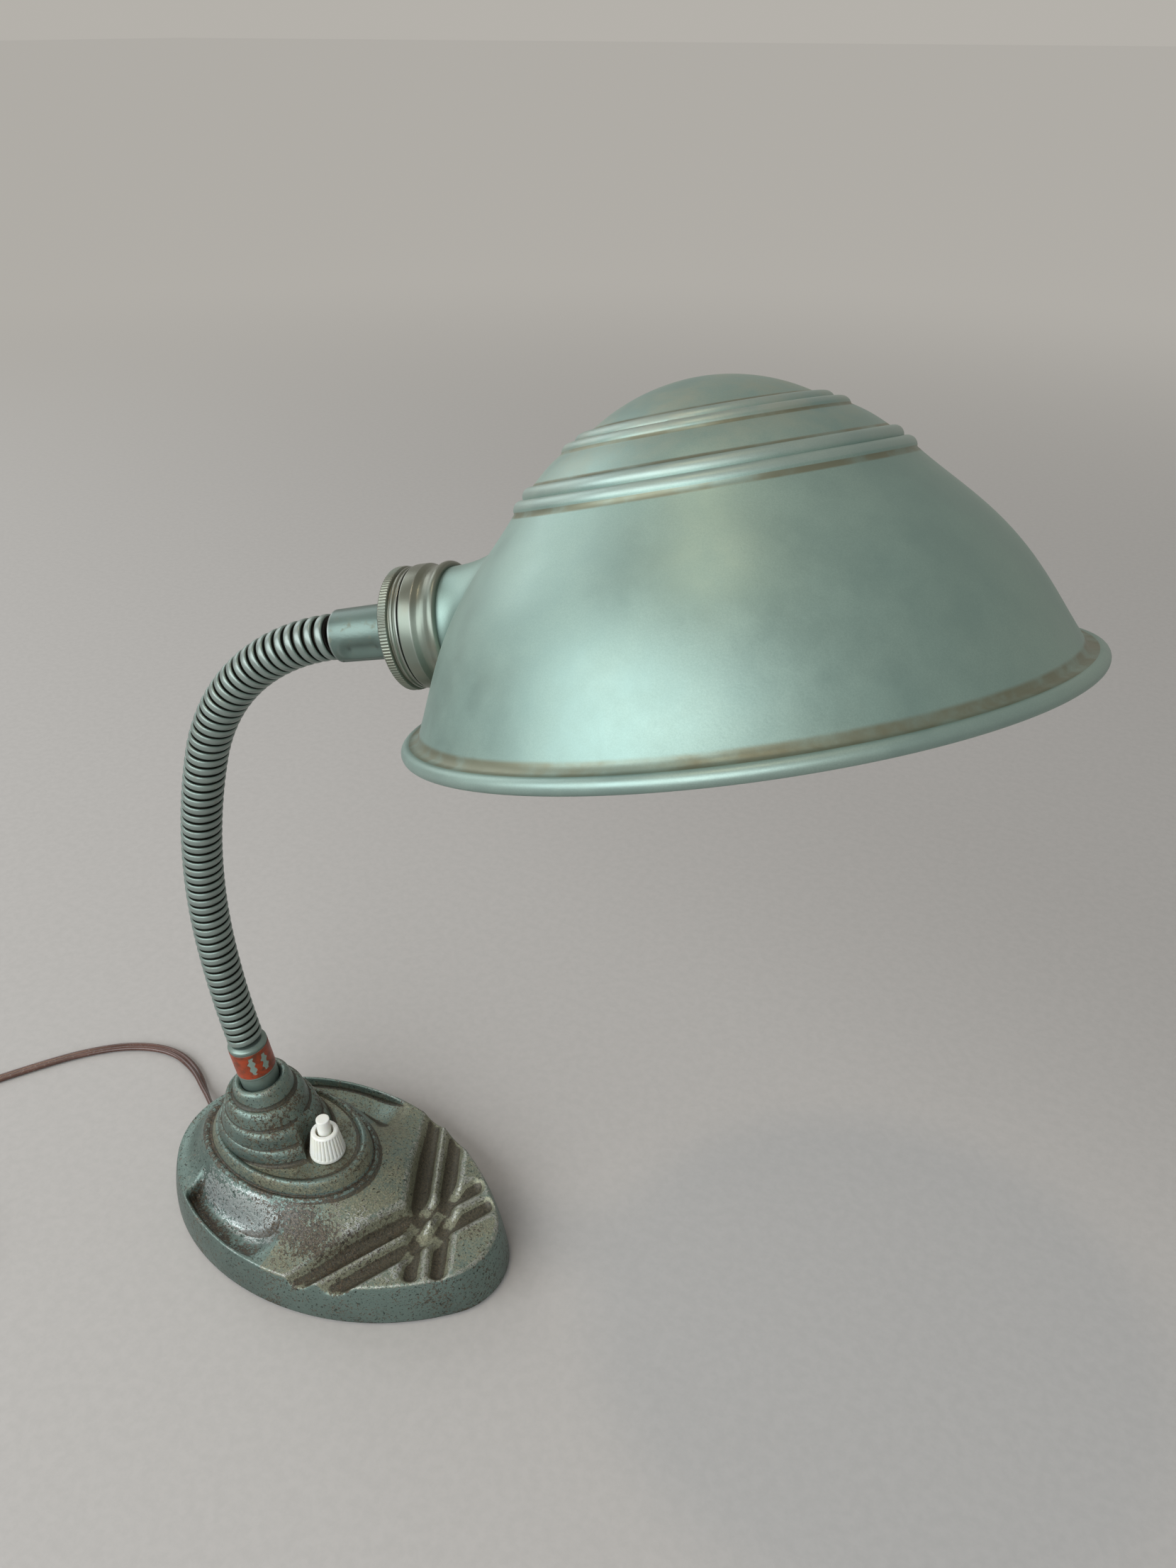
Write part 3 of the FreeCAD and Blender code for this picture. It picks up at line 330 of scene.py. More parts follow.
def ring_at(place, radius, along, turn):
    """Ring of points at a radius from a frame's axis and a distance along it."""
    origin, x_dir, y_dir, z_dir = place
    return (origin + np.outer(radius * np.cos(turn), x_dir) + np.outer(radius * np.sin(turn), y_dir)
            + np.outer(along + 0 * turn, z_dir))


def full_turn(count):
    return np.linspace(0, 2 * math.pi, count, endpoint=False)


def upright(x, y, z):
    """Place frame standing on Z at a point."""
    return np.array([x, y, z]), np.array([1.0, 0, 0]), np.array([0, 1.0, 0]), np.array([0, 0, 1.0])


# ------------------------------------------------------------- frames of the neck and head
def neck_direction(angle):
    azimuth, lean = math.radians(NECK_PLANE_AZIMUTH), math.radians(angle)
    flat = math.sin(lean)
    return np.array([flat * math.cos(azimuth), flat * math.sin(azimuth), math.cos(lean)])


def neck_place(distance, offset=0.0):
    """Frame on the neck's middle line: X bends forward, Z runs up the neck."""
    point, angle, left = np.array(NECK_ROOT), NECK_START_ANGLE, max(distance, 0.0)
    for part, turn in NECK_ARCS + ((1000.0, 0.0),):
        run = min(left, part)
        swing = turn * run / part
        half = math.radians(swing) / 2
        chord = run * math.sin(half) / half if abs(half) > 1e-9 else run
        point = point + neck_direction(angle + swing / 2) * chord
        angle += swing
        left -= run
        if left <= 1e-9:
            break
    along = neck_direction(angle)
    point = point + along * (min(distance, 0.0) + offset)
    forward = neck_direction(angle + 90)
    return point, forward, np.cross(along, forward), along


def head_place():
    """Frame on the holder's axis: Z points into the shade, X is the upper side."""
    end = FERRULE_LENGTH + LINK_COUNT * BANDS_PER_LINK * BAND_PITCH + SLEEVE_LENGTH
    origin, _, _, axis = neck_place(end)
    up = unit(np.array(SHADE_AXIS) - axis * np.dot(SHADE_AXIS, axis))
    return origin, up, np.cross(axis, up), axis


def shade_place():
    """Frame of the shade: Z is the shade's own axis, X points away from the holder."""
    origin, _, _, axis = head_place()
    up = unit(SHADE_AXIS)
    across = unit(axis - up * up.dot(axis))
    centre = origin + axis * SHADE_DISTANCE - up * SHADE_AXIS_DROP
    return centre, across, np.cross(up, across), up


# ------------------------------------------------------------- finishes
class Finish:
    """A material and the few node patterns that the lamp's finishes share."""

    def __init__(self, name, **sockets):
        self.material = bpy.data.materials.new(name)
        self.material.use_nodes = True
        self.tree = self.material.node_tree
        self.shader = self.tree.nodes["Principled BSDF"]
        self.base = None
        for socket, value in sockets.items():
            self.set(socket.replace("_", " ").title().replace("Ior", "IOR"), value)
        self.place = self.tree.nodes.new("ShaderNodeTexCoord").outputs["Object"]

    def set(self, socket, value):
        target = self.shader.inputs[socket]
        if isinstance(value, bpy.types.NodeSocket):
            self.tree.links.new(value, target)
        else:
            target.default_value = (*value, 1.0) if isinstance(value, tuple) else value

    def node(self, kind, output, settings=(), **inputs):
        node = self.tree.nodes.new(kind)
        for key, value in dict(settings).items():
            setattr(node, key, value)
        for key, value in inputs.items():
            socket = node.inputs[int(key[1:]) if key[0] == "i" and key[1:].isdigit() else key]
            if isinstance(value, bpy.types.NodeSocket):
                self.tree.links.new(value, socket)
            elif isinstance(value, tuple) and socket.type == "RGBA":
                socket.default_value = (*value, 1.0)
            else:
                socket.default_value = value
        return node.outputs[output]

    def noise(self, scale, detail=3.0, rough=0.55, distortion=0.0):
        return self.node("ShaderNodeTexNoise", "Fac", Vector=self.place, Scale=scale, Detail=detail,
                         Roughness=rough, Distortion=distortion)

    def mark(self, name):
        return self.node("ShaderNodeAttribute", "Fac", {"attribute_name": name})

    def between(self, value, low, high, to_low=0.0, to_high=1.0):
        """Smooth share of a value between two limits."""
        return self.node("ShaderNodeMapRange", "Result", {"interpolation_type": "SMOOTHSTEP"},
                         i0=value, i1=low, i2=high, i3=to_low, i4=to_high)

    def patches(self, low, high, *noise):
        """Share of patches: where a noise is between two levels."""
        return self.between(self.noise(*noise), low, high)

    def edges(self, low, high, *limits):
        """Share of proud edges, or of valleys where the limits are below 0."""
        return self.between(self.mark("edge"), low, high, *limits)

    def sum(self, a, b, operation="ADD"):
        return self.node("ShaderNodeMath", 0, {"operation": operation, "use_clamp": False}, i0=a, i1=b)

    def most(self, a, b):
        return self.sum(a, b, "MAXIMUM")

    def times(self, a, b):
        return self.sum(a, b, "MULTIPLY")

    def mix(self, share, a, b, kind="RGBA"):
        index = {"RGBA": ("i6", "i7", 2), "FLOAT": ("i2", "i3", 0)}[kind]
        return self.node("ShaderNodeMix", index[2], {"data_type": kind}, i0=share,
                         **{index[0]: a, index[1]: b})

    def level(self, share, a, b):
        return self.mix(share, a, b, "FLOAT")

    def tones(self, share, tone, low, high):
        """One tone at two depths."""
        return self.mix(share, as_tuple(tone, low), as_tuple(tone, high))

    def coat(self, share, tone, amount=None):
        """Lay a tone over the base colour."""
        if amount is not None:
            share = self.times(share, amount)
        self.base = self.mix(share, self.base, tone)

    def bump(self, height, strength, distance, normal=None):
        extra = {"Normal": normal} if normal is not None else {}
        return self.node("ShaderNodeBump", "Normal", Height=height, Strength=strength,
                         Distance=distance, **extra)

    def done(self, roughness, normal=None):
        self.set("Base Color", self.base)
        self.set("Roughness", roughness)
        if normal is not None:
            self.set("Normal", normal)
        return self


def as_tuple(value, factor=1.0):
    return tuple(min(1.0, c * factor) for c in value)


def dress(piece, body, slot, *finishes, replaces=()):
    """Give a new piece its materials and its body, and hide the nodes that it stands for. The slot argument
    is not used.
    """
    for finish in finishes:
        piece.data.materials.append(finish.material)
    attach(piece, body)
    if replaces:
        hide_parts(*replaces)
    return piece


def dress_node(node, finish):
    """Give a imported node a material."""
    mesh = NODES[node].data
    mesh.materials.clear()
    mesh.materials.append(finish.material)


def pearl_paint(name="pearl paint"):
    """Aged metallic paint: cloudy, with fine flakes and an olive film along its valleys."""
    finish = Finish(name, metallic=0.76, specular_ior_level=0.5)
    tone = colours().paint
    paint = (tone[0] * 0.88, tone[1] * 0.98, tone[2] * 1.01)
    fine = finish.patches(0.3, 0.72, 75.0, 5.0, 0.65)
    flake = finish.patches(0.35, 0.65, 2600.0, 2.0, 0.7)
    finish.base = finish.mix(finish.patches(0.3, 0.7, 16.0, 4.0, 0.6), as_tuple(paint, 0.90),
                             (paint[0] * 1.16, paint[1] * 1.08, paint[2] * 1.05))
    finish.coat(fine, (paint[0] * 1.3, paint[1] * 1.2, paint[2] * 1.15), 0.30)
    finish.coat(flake, as_tuple(paint, 0.78), 0.3)
    worn_top = finish.between(finish.mark("height"), 60.0, 84.0)
    finish.coat(worn_top, (0.33, 0.325, 0.25), finish.times(fine, 0.55))
    patchy = finish.between(finish.noise(90.0, 4.0), 0.3, 0.6, 0.35, 0.85)
    finish.coat(finish.edges(-0.045, -0.15), (0.17, 0.165, 0.105), patchy)
    finish.coat(finish.edges(0.05, 0.2), as_tuple(colours().bare_metal, 0.9), 0.45)
    grain = finish.bump(finish.noise(900.0, 4.0, 0.7), 0.12, 0.0002)
    return finish.done(finish.level(fine, 0.43, 0.52), grain)


def cast_paint():
    """Worn metallic paint of the casting, with granular rust, dark deposits, painted shade and painted
    highlights from its marks.
    """
    tone = colours()
    finish = Finish("cast paint")
    grit = finish.sum(finish.noise(1250.0, 3.0, 0.7), -0.5)
    speck = finish.sum(finish.noise(620.0, 4.0, 0.75, 0.4), -0.5)
    patch = finish.sum(finish.noise(70.0, 5.0, 0.65), -0.5)

    def granular(mark, low, high, gain=1.9):
        """Share that a mark covers, broken up into grains at its fringe."""
        ragged = finish.sum(finish.times(speck, gain), finish.times(patch, 1.2))
        return finish.between(finish.sum(mark, finish.sum(ragged, finish.times(grit, 0.9))), low, high)

    def grains(low, high, colour, dark, light):
        return finish.tones(finish.between(grit, low, high), colour, dark, light)

    finish.base = finish.tones(finish.patches(0.35, 0.65, 24.0, 4.0, 0.6), tone.cast_paint, 0.86, 1.14)
    finish.coat(granular(0.0, 0.10, 0.42), as_tuple(tone.cast_paint, 1.6))
    olive = granular(finish.mark("olive"), 0.22, 0.75, 1.0)
    finish.coat(olive, grains(-0.1, 0.12, tone.olive, 0.75, 1.3), 0.80)
    # painted highlights: pale silver where the near tray's slope and spots of the deck catch the light
    painted_highlight = granular(finish.mark("painted_highlight"), 0.34, 0.54, 2.4)
    finish.coat(painted_highlight, (0.46, 0.50, 0.48))
    crest = finish.times(finish.edges(0.05, 0.22, 0.0, 0.52), finish.mark("rub"))
    worn = granular(crest, 0.34, 0.62, 2.6)
    finish.coat(worn, as_tuple(tone.bare_metal, 0.75), 0.45)
    # dark in the valleys and along the casting's dark mark, which holds a painted shadow round the switch
    # pocket
    hollow = finish.most(finish.edges(-0.004, -0.085), finish.mark("grime_and_shade"))
    grime_and_shade = granular(hollow, 0.30, 0.68, 1.2)
    dirt_and_shade = finish.mix(finish.between(grit, -0.12, 0.14), as_tuple(tone.grime_and_shade, 1.4), as_tuple(tone.rust))
    finish.coat(grime_and_shade, dirt_and_shade, 0.85)
    rust = granular(finish.mark("rust"), 0.40, 0.56, 2.6)
    finish.coat(rust, grains(-0.1, 0.1, tone.rust, 0.2, 1.5), 0.92)
    finish.coat(finish.patches(0.57, 0.66, 900.0, 3.0, 0.65), as_tuple(tone.grime_and_shade, 0.9), 0.85)
    # bright flecks, laid thickest on the painted highlights and the rust
    shown = finish.sum(finish.mark("painted_highlight"), finish.times(finish.mark("rust"), 0.5))
    finish.coat(finish.patches(0.63, 0.72, 1700.0, 2.5, 0.65, 0.5), as_tuple(tone.bare_metal, 1.1),
                finish.times(shown, 0.6))
    dull = finish.most(finish.most(rust, finish.times(grime_and_shade, 0.85)), finish.times(olive, 0.55))
    finish.set("Metallic", finish.level(dull, 0.72, 0.22))
    rough = finish.level(finish.most(worn, painted_highlight), finish.level(dull, 0.38, 0.54), 0.34)
    pits = finish.bump(finish.sum(finish.times(rust, 0.8), finish.times(speck, 1.4)), 0.35, 0.0005)
    return finish.done(rough, finish.bump(patch, 0.25, 0.0012, pits))


def neck_paint(name="neck paint", depth=0.64):
    """Metallic paint of the neck, darker between the bands and rubbed on their crests."""
    finish = Finish(name, metallic=0.6)
    tone = colours().paint
    paint = as_tuple((tone[0] * (0.76 + 0.36 * depth), tone[1], tone[2]), depth)
    streak = finish.patches(0.55, 0.7, 300.0, 4.0, 0.7)
    finish.base = finish.tones(finish.patches(0.3, 0.7, 40.0, 4.0, 0.6), paint, 0.88, 1.12)
    finish.coat(streak, as_tuple(colours().olive, 0.8), 0.35)
    finish.coat(finish.edges(0.02, 0.09), as_tuple(colours().bare_metal, 0.7), 0.3)
    finish.coat(finish.edges(-0.02, -0.11), as_tuple(colours().grime_and_shade, 1.2))
    grain = finish.bump(finish.noise(1100.0, 3.0, 0.7), 0.15, 0.0003)
    return finish.done(finish.level(streak, 0.38, 0.55), grain)


def dark_core():
    finish = Finish("neck core", metallic=0.4)
    tone = colours()
    finish.base = finish.mix(finish.noise(400.0), as_tuple(tone.grime_and_shade, 0.8), as_tuple(tone.rust, 0.5))
    return finish.done(finish.level(finish.noise(250.0), 0.6, 0.8))


def patina_metal():
    """Grey-olive patina over metal, rubbed bright on the crests."""
    finish = Finish("patina metal", metallic=0.8)
    tone = colours()
    green = finish.patches(0.40, 0.65, 55.0, 3.0)
    finish.base = finish.tones(finish.patches(0.3, 0.7, 30.0, 4.0, 0.6), tone.patina, 0.50, 0.72)
    finish.coat(green, as_tuple(tone.paint, 0.7), 0.45)
    finish.coat(finish.edges(0.01, 0.09), as_tuple(tone.bare_metal, 0.8), 0.30)
    finish.coat(finish.edges(-0.01, -0.08), (0.07, 0.058, 0.03), 0.8)
    grain = finish.bump(finish.noise(500.0, 3.0, 0.6), 0.05, 0.0002)
    return finish.done(finish.level(green, 0.34, 0.43), grain)


def band_paint():
    """Orange-red band with chips down to the grey-green under it."""
    finish = Finish("ferrule band")
    tone = colours()
    red = tuple(tone.ferrule_band)
    cloud = finish.patches(0.35, 0.7, 160.0, 4.0, 0.6)
    finish.base = finish.mix(cloud, (red[0] * 1.25, red[1] * 1.7, red[2]),
                             (red[0] * 0.45, red[1] * 1.1, red[2]))
    finish.coat(finish.patches(0.55, 0.68, 420.0, 4.0, 0.7), as_tuple(tone.rust, 0.8), 0.6)
    ragged = finish.times(finish.noise(700.0, 4.0, 0.65), 0.55)
    chips = finish.between(finish.sum(finish.mark("chip"), ragged), 0.72, 0.80)
    finish.coat(chips, as_tuple(tone.paint))
    finish.set("Metallic", finish.level(chips, 0.05, 0.6))
    return finish.done(finish.level(cloud, 0.34, 0.48), finish.bump(chips, 0.6, -0.0002))


def plain_finish(name, tone, roughness, metallic=0.0, grain=500.0, spread=0.18, depth=0.0002, **more):
    """Finish with a gentle change of tone, gloss and relief."""
    finish = Finish(name, metallic=metallic, **more)
    speck = finish.patches(0.3, 0.7, grain, 4.0, 0.6)
    finish.base = finish.tones(finish.patches(0.3, 0.7, grain / 12, 3.0), tone, 1 - spread, 1 + spread / 2)
    finish.coat(speck, as_tuple(tone, 1 - 2 * spread), 0.3)
    return finish.done(finish.level(speck, roughness * 0.88, min(1.0, roughness * 1.15)),
                       finish.bump(speck, 0.15, depth))


def switch_plastic():
    finish = Finish("switch plastic", specular_ior_level=0.5, subsurface_weight=0.05)
    white = tuple(colours().switch_white)
    cloud = finish.patches(0.3, 0.7, 200.0)
    finish.base = finish.mix(cloud, white, (white[0] * 0.97, white[1] * 0.95, white[2] * 0.88))
    finish.coat(finish.edges(-0.01, -0.07), (0.42, 0.38, 0.27), 0.55)
    return finish.done(finish.level(cloud, 0.30, 0.42), finish.bump(finish.noise(1500.0, 2.0), 0.06, 0.0002))


def flex_plastic():
    finish = Finish("flex plastic", specular_ior_level=0.6)
    dust = finish.patches(0.55, 0.75, 600.0, 4.0, 0.7)
    finish.base = finish.tones(finish.patches(0.3, 0.7, 45.0), colours().flex, 0.8, 1.3)
    finish.coat(dust, (0.35, 0.30, 0.26), 0.12)
    return finish.done(finish.level(dust, 0.24, 0.42), finish.bump(finish.noise(260.0), 0.12, 0.0004))


# ------------------------------------------------------------- base casting
def outline(angle, inset=0.0):
    """Points of the base outline whose outward normals have these angles."""
    turn = np.abs(wrapped(angle))
    side = np.where(np.sin(angle) >= 0, 1.0, -1.0)
    half_width, nose_end = sizes().base_half_width / MM, sizes().base_nose / MM
    nose_x = nose_end - BASE_NOSE_RADIUS
    reach = nose_x - BASE_REAR_CENTRE_X
    flank = (reach ** 2 + half_width ** 2 - BASE_NOSE_RADIUS ** 2) / (2 * (half_width - BASE_NOSE_RADIUS))
    flank_y = half_width - flank
    nose_turn = math.atan2(-flank_y, reach)
    rear_x = BASE_REAR_CENTRE_X + BASE_REAR_LENGTH * np.cos(turn)
    x = np.where(turn <= nose_turn, nose_x + BASE_NOSE_RADIUS * np.cos(turn),
                 np.where(turn <= math.pi / 2, BASE_REAR_CENTRE_X + flank * np.cos(turn), rear_x))
    y = np.where(turn <= nose_turn, BASE_NOSE_RADIUS * np.sin(turn),
                 np.where(turn <= math.pi / 2, flank_y + flank * np.sin(turn), half_width * np.sin(turn)))
    return np.stack([x - inset * np.cos(turn), side * (y - inset * np.sin(turn)), 0 * x], -1)


def even_angles(count):
    """Normal angles that space points evenly along the base outline."""
    angle = np.linspace(-math.pi, math.pi, 6001)
    points = outline(angle)
    steps = np.linalg.norm(np.diff(points, axis=0), axis=1)
    travelled = np.concatenate([[0], np.cumsum(steps)])
    return np.interp(np.linspace(0, travelled[-1], count, endpoint=False), travelled, angle)


def deck_edge(angle, rise):
    nose = np.maximum(0.0, np.cos(angle)) ** 2
    point = outline(angle, (WALL_INSET + NOSE_EXTRA_INSET * nose) * rise ** 1.8)
    share = np.clip((point[:, 0] + 20.0) / (sizes().base_nose / MM + 20.0), 0, 1)
    edge_z = DECK_EDGE_REAR_Z + (DECK_EDGE_NOSE_Z - DECK_EDGE_REAR_Z) * share
    point[:, 2] = FELT_TOP + (edge_z - FELT_TOP) * rise
    return point


def oval(ring, angle):
    centre_x, half_length, half_breadth, z = ring
    return np.stack([centre_x + half_length * np.cos(angle), half_breadth * np.sin(angle),
                     np.full(len(angle), z)], -1)


def collar_ring(radius, drop, angle):
    """Ring round the neck's foot, square to the neck."""
    origin, _, _, along = neck_place(0.0, -drop)
    flat = np.stack([np.cos(angle), np.sin(angle), 0 * angle], -1)
    flat = flat - np.outer(flat @ along, along)
    return origin + radius * flat / np.linalg.norm(flat, axis=1, keepdims=True)


def casting_rows(angle):
    """Rings of the casting before its trays and grooves, with the count of wall and deck rings."""
    rows = [deck_edge(angle, rise) for rise in np.linspace(0, 1, WALL_RINGS)]
    edge, foot = rows[-1], oval(FLANGE_FOOT, angle)
    for share in np.linspace(0, 1, DECK_RINGS)[1:]:
        z = edge[:, 2] + (foot[:, 2] - edge[:, 2]) * share ** 2.4
        row = edge + (foot - edge) * share
        row[:, 2] = z
        rows.append(row)
    deck_rows = len(rows)
    rings = [foot] + [oval(ring, angle) for ring in BOSS_RINGS]
    rings += [collar_ring(*ring, angle) for ring in COLLAR_RINGS]
    for low, high in zip(rings, rings[1:]):
        gap = np.linalg.norm(high - low, axis=1).max()
        count = max(2, int(round(gap / RING_GAP)))
        rows += [low + (high - low) * i / count for i in range(1, count + 1)]
    return np.array(rows), deck_rows


def smooth_lower(a, b, blend):
    """The lower of two heights, rounded where they meet."""
    share = np.clip(0.5 + 0.5 * (a - b) / blend, 0, 1)
    return a + (b - a) * share - blend * share * (1 - share)


def groove_height(x, y, cross_x, side, inner_run):
    """Height of a round-bottomed groove with rounded edges."""
    turn = math.radians(GROOVE_ANGLE) * side
    along = np.array([math.cos(turn), math.sin(turn)])
    offset = np.stack([x - cross_x, y], -1)
    run = np.clip(offset @ along, -GROOVE_OUTER_RUN, inner_run - GROOVE_RADIUS)
    distance = np.linalg.norm(offset - run[..., None] * along, axis=-1)
    share = (run + GROOVE_OUTER_RUN) / (GROOVE_OUTER_RUN + inner_run)
    floor = GROOVE_FLOOR_OUTER_Z + (GROOVE_FLOOR_INNER_Z - GROOVE_FLOOR_OUTER_Z) * share
    return floor + 1.15 * GROOVE_RADIUS * (distance / GROOVE_RADIUS) ** 2.6


def tray_height(x, y, tray, lip, guard):
    """Height of a dished tray between the outer lip and the boss."""
    rear, front = np.array(tray[0]), np.array(tray[1])
    along = unit(front - rear)
    offset = np.stack([x, y], -1) - rear
    run = offset @ along
    reach = np.linalg.norm(front - rear)
    distance = np.linalg.norm(offset - np.clip(run, 0, reach)[..., None] * along, axis=-1)
    bowl = TRAY_RADIUS - np.sqrt(np.maximum(TRAY_RADIUS ** 2 - distance ** 2, 1))
    wall = np.maximum(-run, 0) * 3.5 + np.maximum(TRAY_LIP - lip, 0) * 5 + np.maximum(guard, 0) * 5
    return TRAY_FLOOR_Z + bowl + wall


def carve(rows, deck_rows):
    """Cut trays, grooves and the pocket by the switch; return the rows and the depths of the trays and
    grooves.
    """
    x, y, z = (rows[..., i] for i in range(3))
    height = z.copy()
    edge_inset = outline_inset(x, y)
    flange = np.array(FLANGE_FOOT)
    guard = 1 - np.hypot((x - flange[0]) / (flange[1] + 0.9), y / (flange[2] + 0.9))
    guard = guard * flange[2]
    low = np.zeros(z.shape, bool)
    low[:deck_rows] = True
    tray_depth = np.zeros(z.shape)
    for tray in TRAYS:
        wanted = tray_height(x, y, tray, edge_inset, guard)
        fade = eased(np.clip(-guard / 9.0, 0, 1))
        cut = height - (height - smooth_lower(height, wanted, TRAY_BLEND)) * fade
        tray_depth = np.maximum(tray_depth, np.where(low, height - cut, 0))
        height = np.where(low, cut, height)
    groove_depth = np.zeros(z.shape)
    for side in (1, -1):
        for cross_x, inner_run in zip(GROOVE_X, GROOVE_INNER_RUN):
            wanted = groove_height(x, y, cross_x, side, inner_run)
            cut = smooth_lower(height, wanted, GROOVE_BLEND)
            groove_depth = np.maximum(groove_depth, np.where(low, height - cut, 0))
            height = np.where(low, cut, height)
    near_switch = np.hypot(x - SWITCH_X, y)
    pocket = PLATEAU_Z + np.maximum(near_switch - 9.6, 0) * 6
    height = np.where(low, height, smooth_lower(height, pocket, 0.5))
    shaped = rows.copy()
    shaped[..., 2] = height
    return shaped, tray_depth, groove_depth


def outline_inset(x, y):
    """Distance of points in from the base's outline, in plan."""
    angle = np.linspace(-math.pi, math.pi, 721)
    rim = outline(angle)[:, :2]
    out = np.empty(x.shape)
    for i in range(x.shape[0]):
        gap = np.hypot(x[i][:, None] - rim[None, :, 0], y[i][:, None] - rim[None, :, 1])
        out[i] = gap.min(1)
    return out


def spot(x, y, centre, size, turn=0.0):
    """Soft round patch: 1 at its middle, 0 outside."""
    turn = math.radians(turn)
    dx, dy = x - centre[0], y - centre[1]
    u = (dx * math.cos(turn) + dy * math.sin(turn)) / size[0]
    v = (dy * math.cos(turn) - dx * math.sin(turn)) / size[1]
    return np.exp(-(u * u + v * v) ** 1.5)


def casting_marks(rows, deck_rows, tray_depth, groove_depth):
    """Where the casting's finish is worn, rusty, olive or dirty, and where highlights and shade are painted
    on it.
    """
    x, y, z = (rows[..., i] for i in range(3))
    edge = relief(rows, passes=6)
    edge = np.where((groove_depth > 0.3) & (edge < 0), edge * 0.35, edge)
    index = np.arange(len(rows))[:, None] + 0 * x
    wall = index < WALL_RINGS - 2
    boss = index >= deck_rows
    deck = ~wall & ~boss
    in_tray = np.clip(tray_depth / 2.0, 0, 1)
    in_groove = np.clip(groove_depth / 1.5, 0, 1)
    near_lip = np.clip(1 - np.abs(outline_inset(x, y) - TRAY_LIP - 2.4) / 6.5, 0, 1)
    flange_band = np.exp(-((z - 31.6) / 1.2) ** 2) * boss
    far_side = np.clip(y / 30.0, 0, 1)
    trough = in_tray * near_lip
    stepped = boss * (z > STEP_Z)
    patch = spot(x, y, (8, -31), (26, 12), -12) * deck * (1 - 0.6 * in_groove)
    rust = 0.12 + 0.56 * patch * (1 - trough)
    rust = rust + 0.46 * flange_band + 0.12 * spot(x, y, (78, -14), (16, 26)) * (deck | wall)
    rust = rust + 0.62 * trough * (1 - far_side) + 0.20 * in_groove * (y < 0) * (x < 45)
    rust = rust + 0.20 * stepped * (z < 60) + 0.10 * wall
    # painted highlights: pale silver on the near tray's inner slope and on two spots of the deck
    painted_highlight = 0.30 * in_tray * (1 - near_lip) * (1 - far_side)
    painted_highlight = painted_highlight + 0.42 * spot(x, y, (-14, -30), (32, 12), 6) * deck * (1 - in_groove)
    painted_highlight = painted_highlight + 0.26 * spot(x, y, (38, -24), (24, 14)) * deck * (1 - 0.5 * in_groove) + 0.06 * deck
    olive = 0.46 * deck * (x > 0) + 0.62 * in_groove + 0.62 * boss * (z < STEP_Z) * (z > 33)
    olive = olive + 0.36 * stepped + 0.14 * deck + 0.3 * in_tray * far_side
    grime_and_shade = 0.62 * trough ** 2 * (1 - 0.5 * far_side) + 0.20 * spot(x, y, (82, 0), (10, 30)) * deck
    # painted shadow: a dark line round the switch pocket at the plateau's level
    grime_and_shade = grime_and_shade + 0.45 * np.exp(-((z - 36.6) / 0.8) ** 2) * boss * (x > -8) + 0.14 * in_groove ** 2
    # darker towards the foot of the wall
    grime_and_shade = grime_and_shade + 0.45 * wall * np.clip(1 - (z - FELT_TOP) / 5.0, 0, 1) + 0.22 * stepped
    rub = 0.25 + 0.75 * deck * (1 - 0.5 * (x < -20)) + 0.2 * (z > 59)
    return {"edge": edge, "rub": rub, "rust": rust, "painted_highlight": painted_highlight,
            "olive": np.clip(olive, 0, 1), "grime_and_shade": grime_and_shade}


def build_casting():
    angle = even_angles(CASTING_SEGMENTS)
    rows, deck_rows = casting_rows(angle)
    rows, tray_depth, groove_depth = carve(rows, deck_rows)
    for _ in range(2):
        rows[1:-1] = 0.5 * rows[1:-1] + 0.25 * (rows[2:] + rows[:-2])
    marks = casting_marks(rows, deck_rows, tray_depth, groove_depth)
    bottom = rows[:1].copy()
    inner = outline(angle, 4.0)[None]
    bottom[..., 2] = inner[..., 2] = FELT_TOP
    marks = {name: np.concatenate([values[:1], values[:1], values]) for name, values in marks.items()}
    casting = ring_piece("lamp_base", np.concatenate([inner, bottom, rows]), capped=(True, False),
                         marks=marks, sharp=60.0)
    return dress(casting, "base", "base_paint", cast_paint(), replaces=("base_casting",))


class LAMP_OT_base(bpy.types.Operator):
    """Build the cast base with its trays, grooves and stepped boss"""
    bl_idname = "lamp.base"
    bl_label = "Cast base"

    def execute(self, context):
        build_casting()
        return {"FINISHED"}


class LAMP_OT_underside(bpy.types.Operator):
    """Finish the felt, the bottom plate and the fixings inside the base"""
    bl_idname = "lamp.underside"
    bl_label = "Base fittings"

    def execute(self, context):
        felt = plain_finish("felt", (0.035, 0.045, 0.035), 0.95, grain=1800.0, spread=0.35, depth=0.0006)
        steel = plain_finish("plain steel", (0.45, 0.45, 0.44), 0.38, metallic=0.95)
        black = plain_finish("black plastic", (0.03, 0.03, 0.03), 0.45)
        brass = plain_finish("brass", (0.62, 0.46, 0.20), 0.30, metallic=0.95)
        dress_node("felt_pad", felt)
        for node in ("bottom_plate", "bottom_plate_screws", "neck_washer", "neck_nut", "holder_nipple",
                     "holder_sleeve", "cord_clamp_screws", "holder_terminal_screws"):
            dress_node(node, steel)
        for node in ("switch_body", "cord_clamp"):
            dress_node(node, black)
        for node in ("switch_terminals", "screw_shell", "centre_contact", "bulb_contact"):
            dress_node(node, brass)
        return {"FINISHED"}


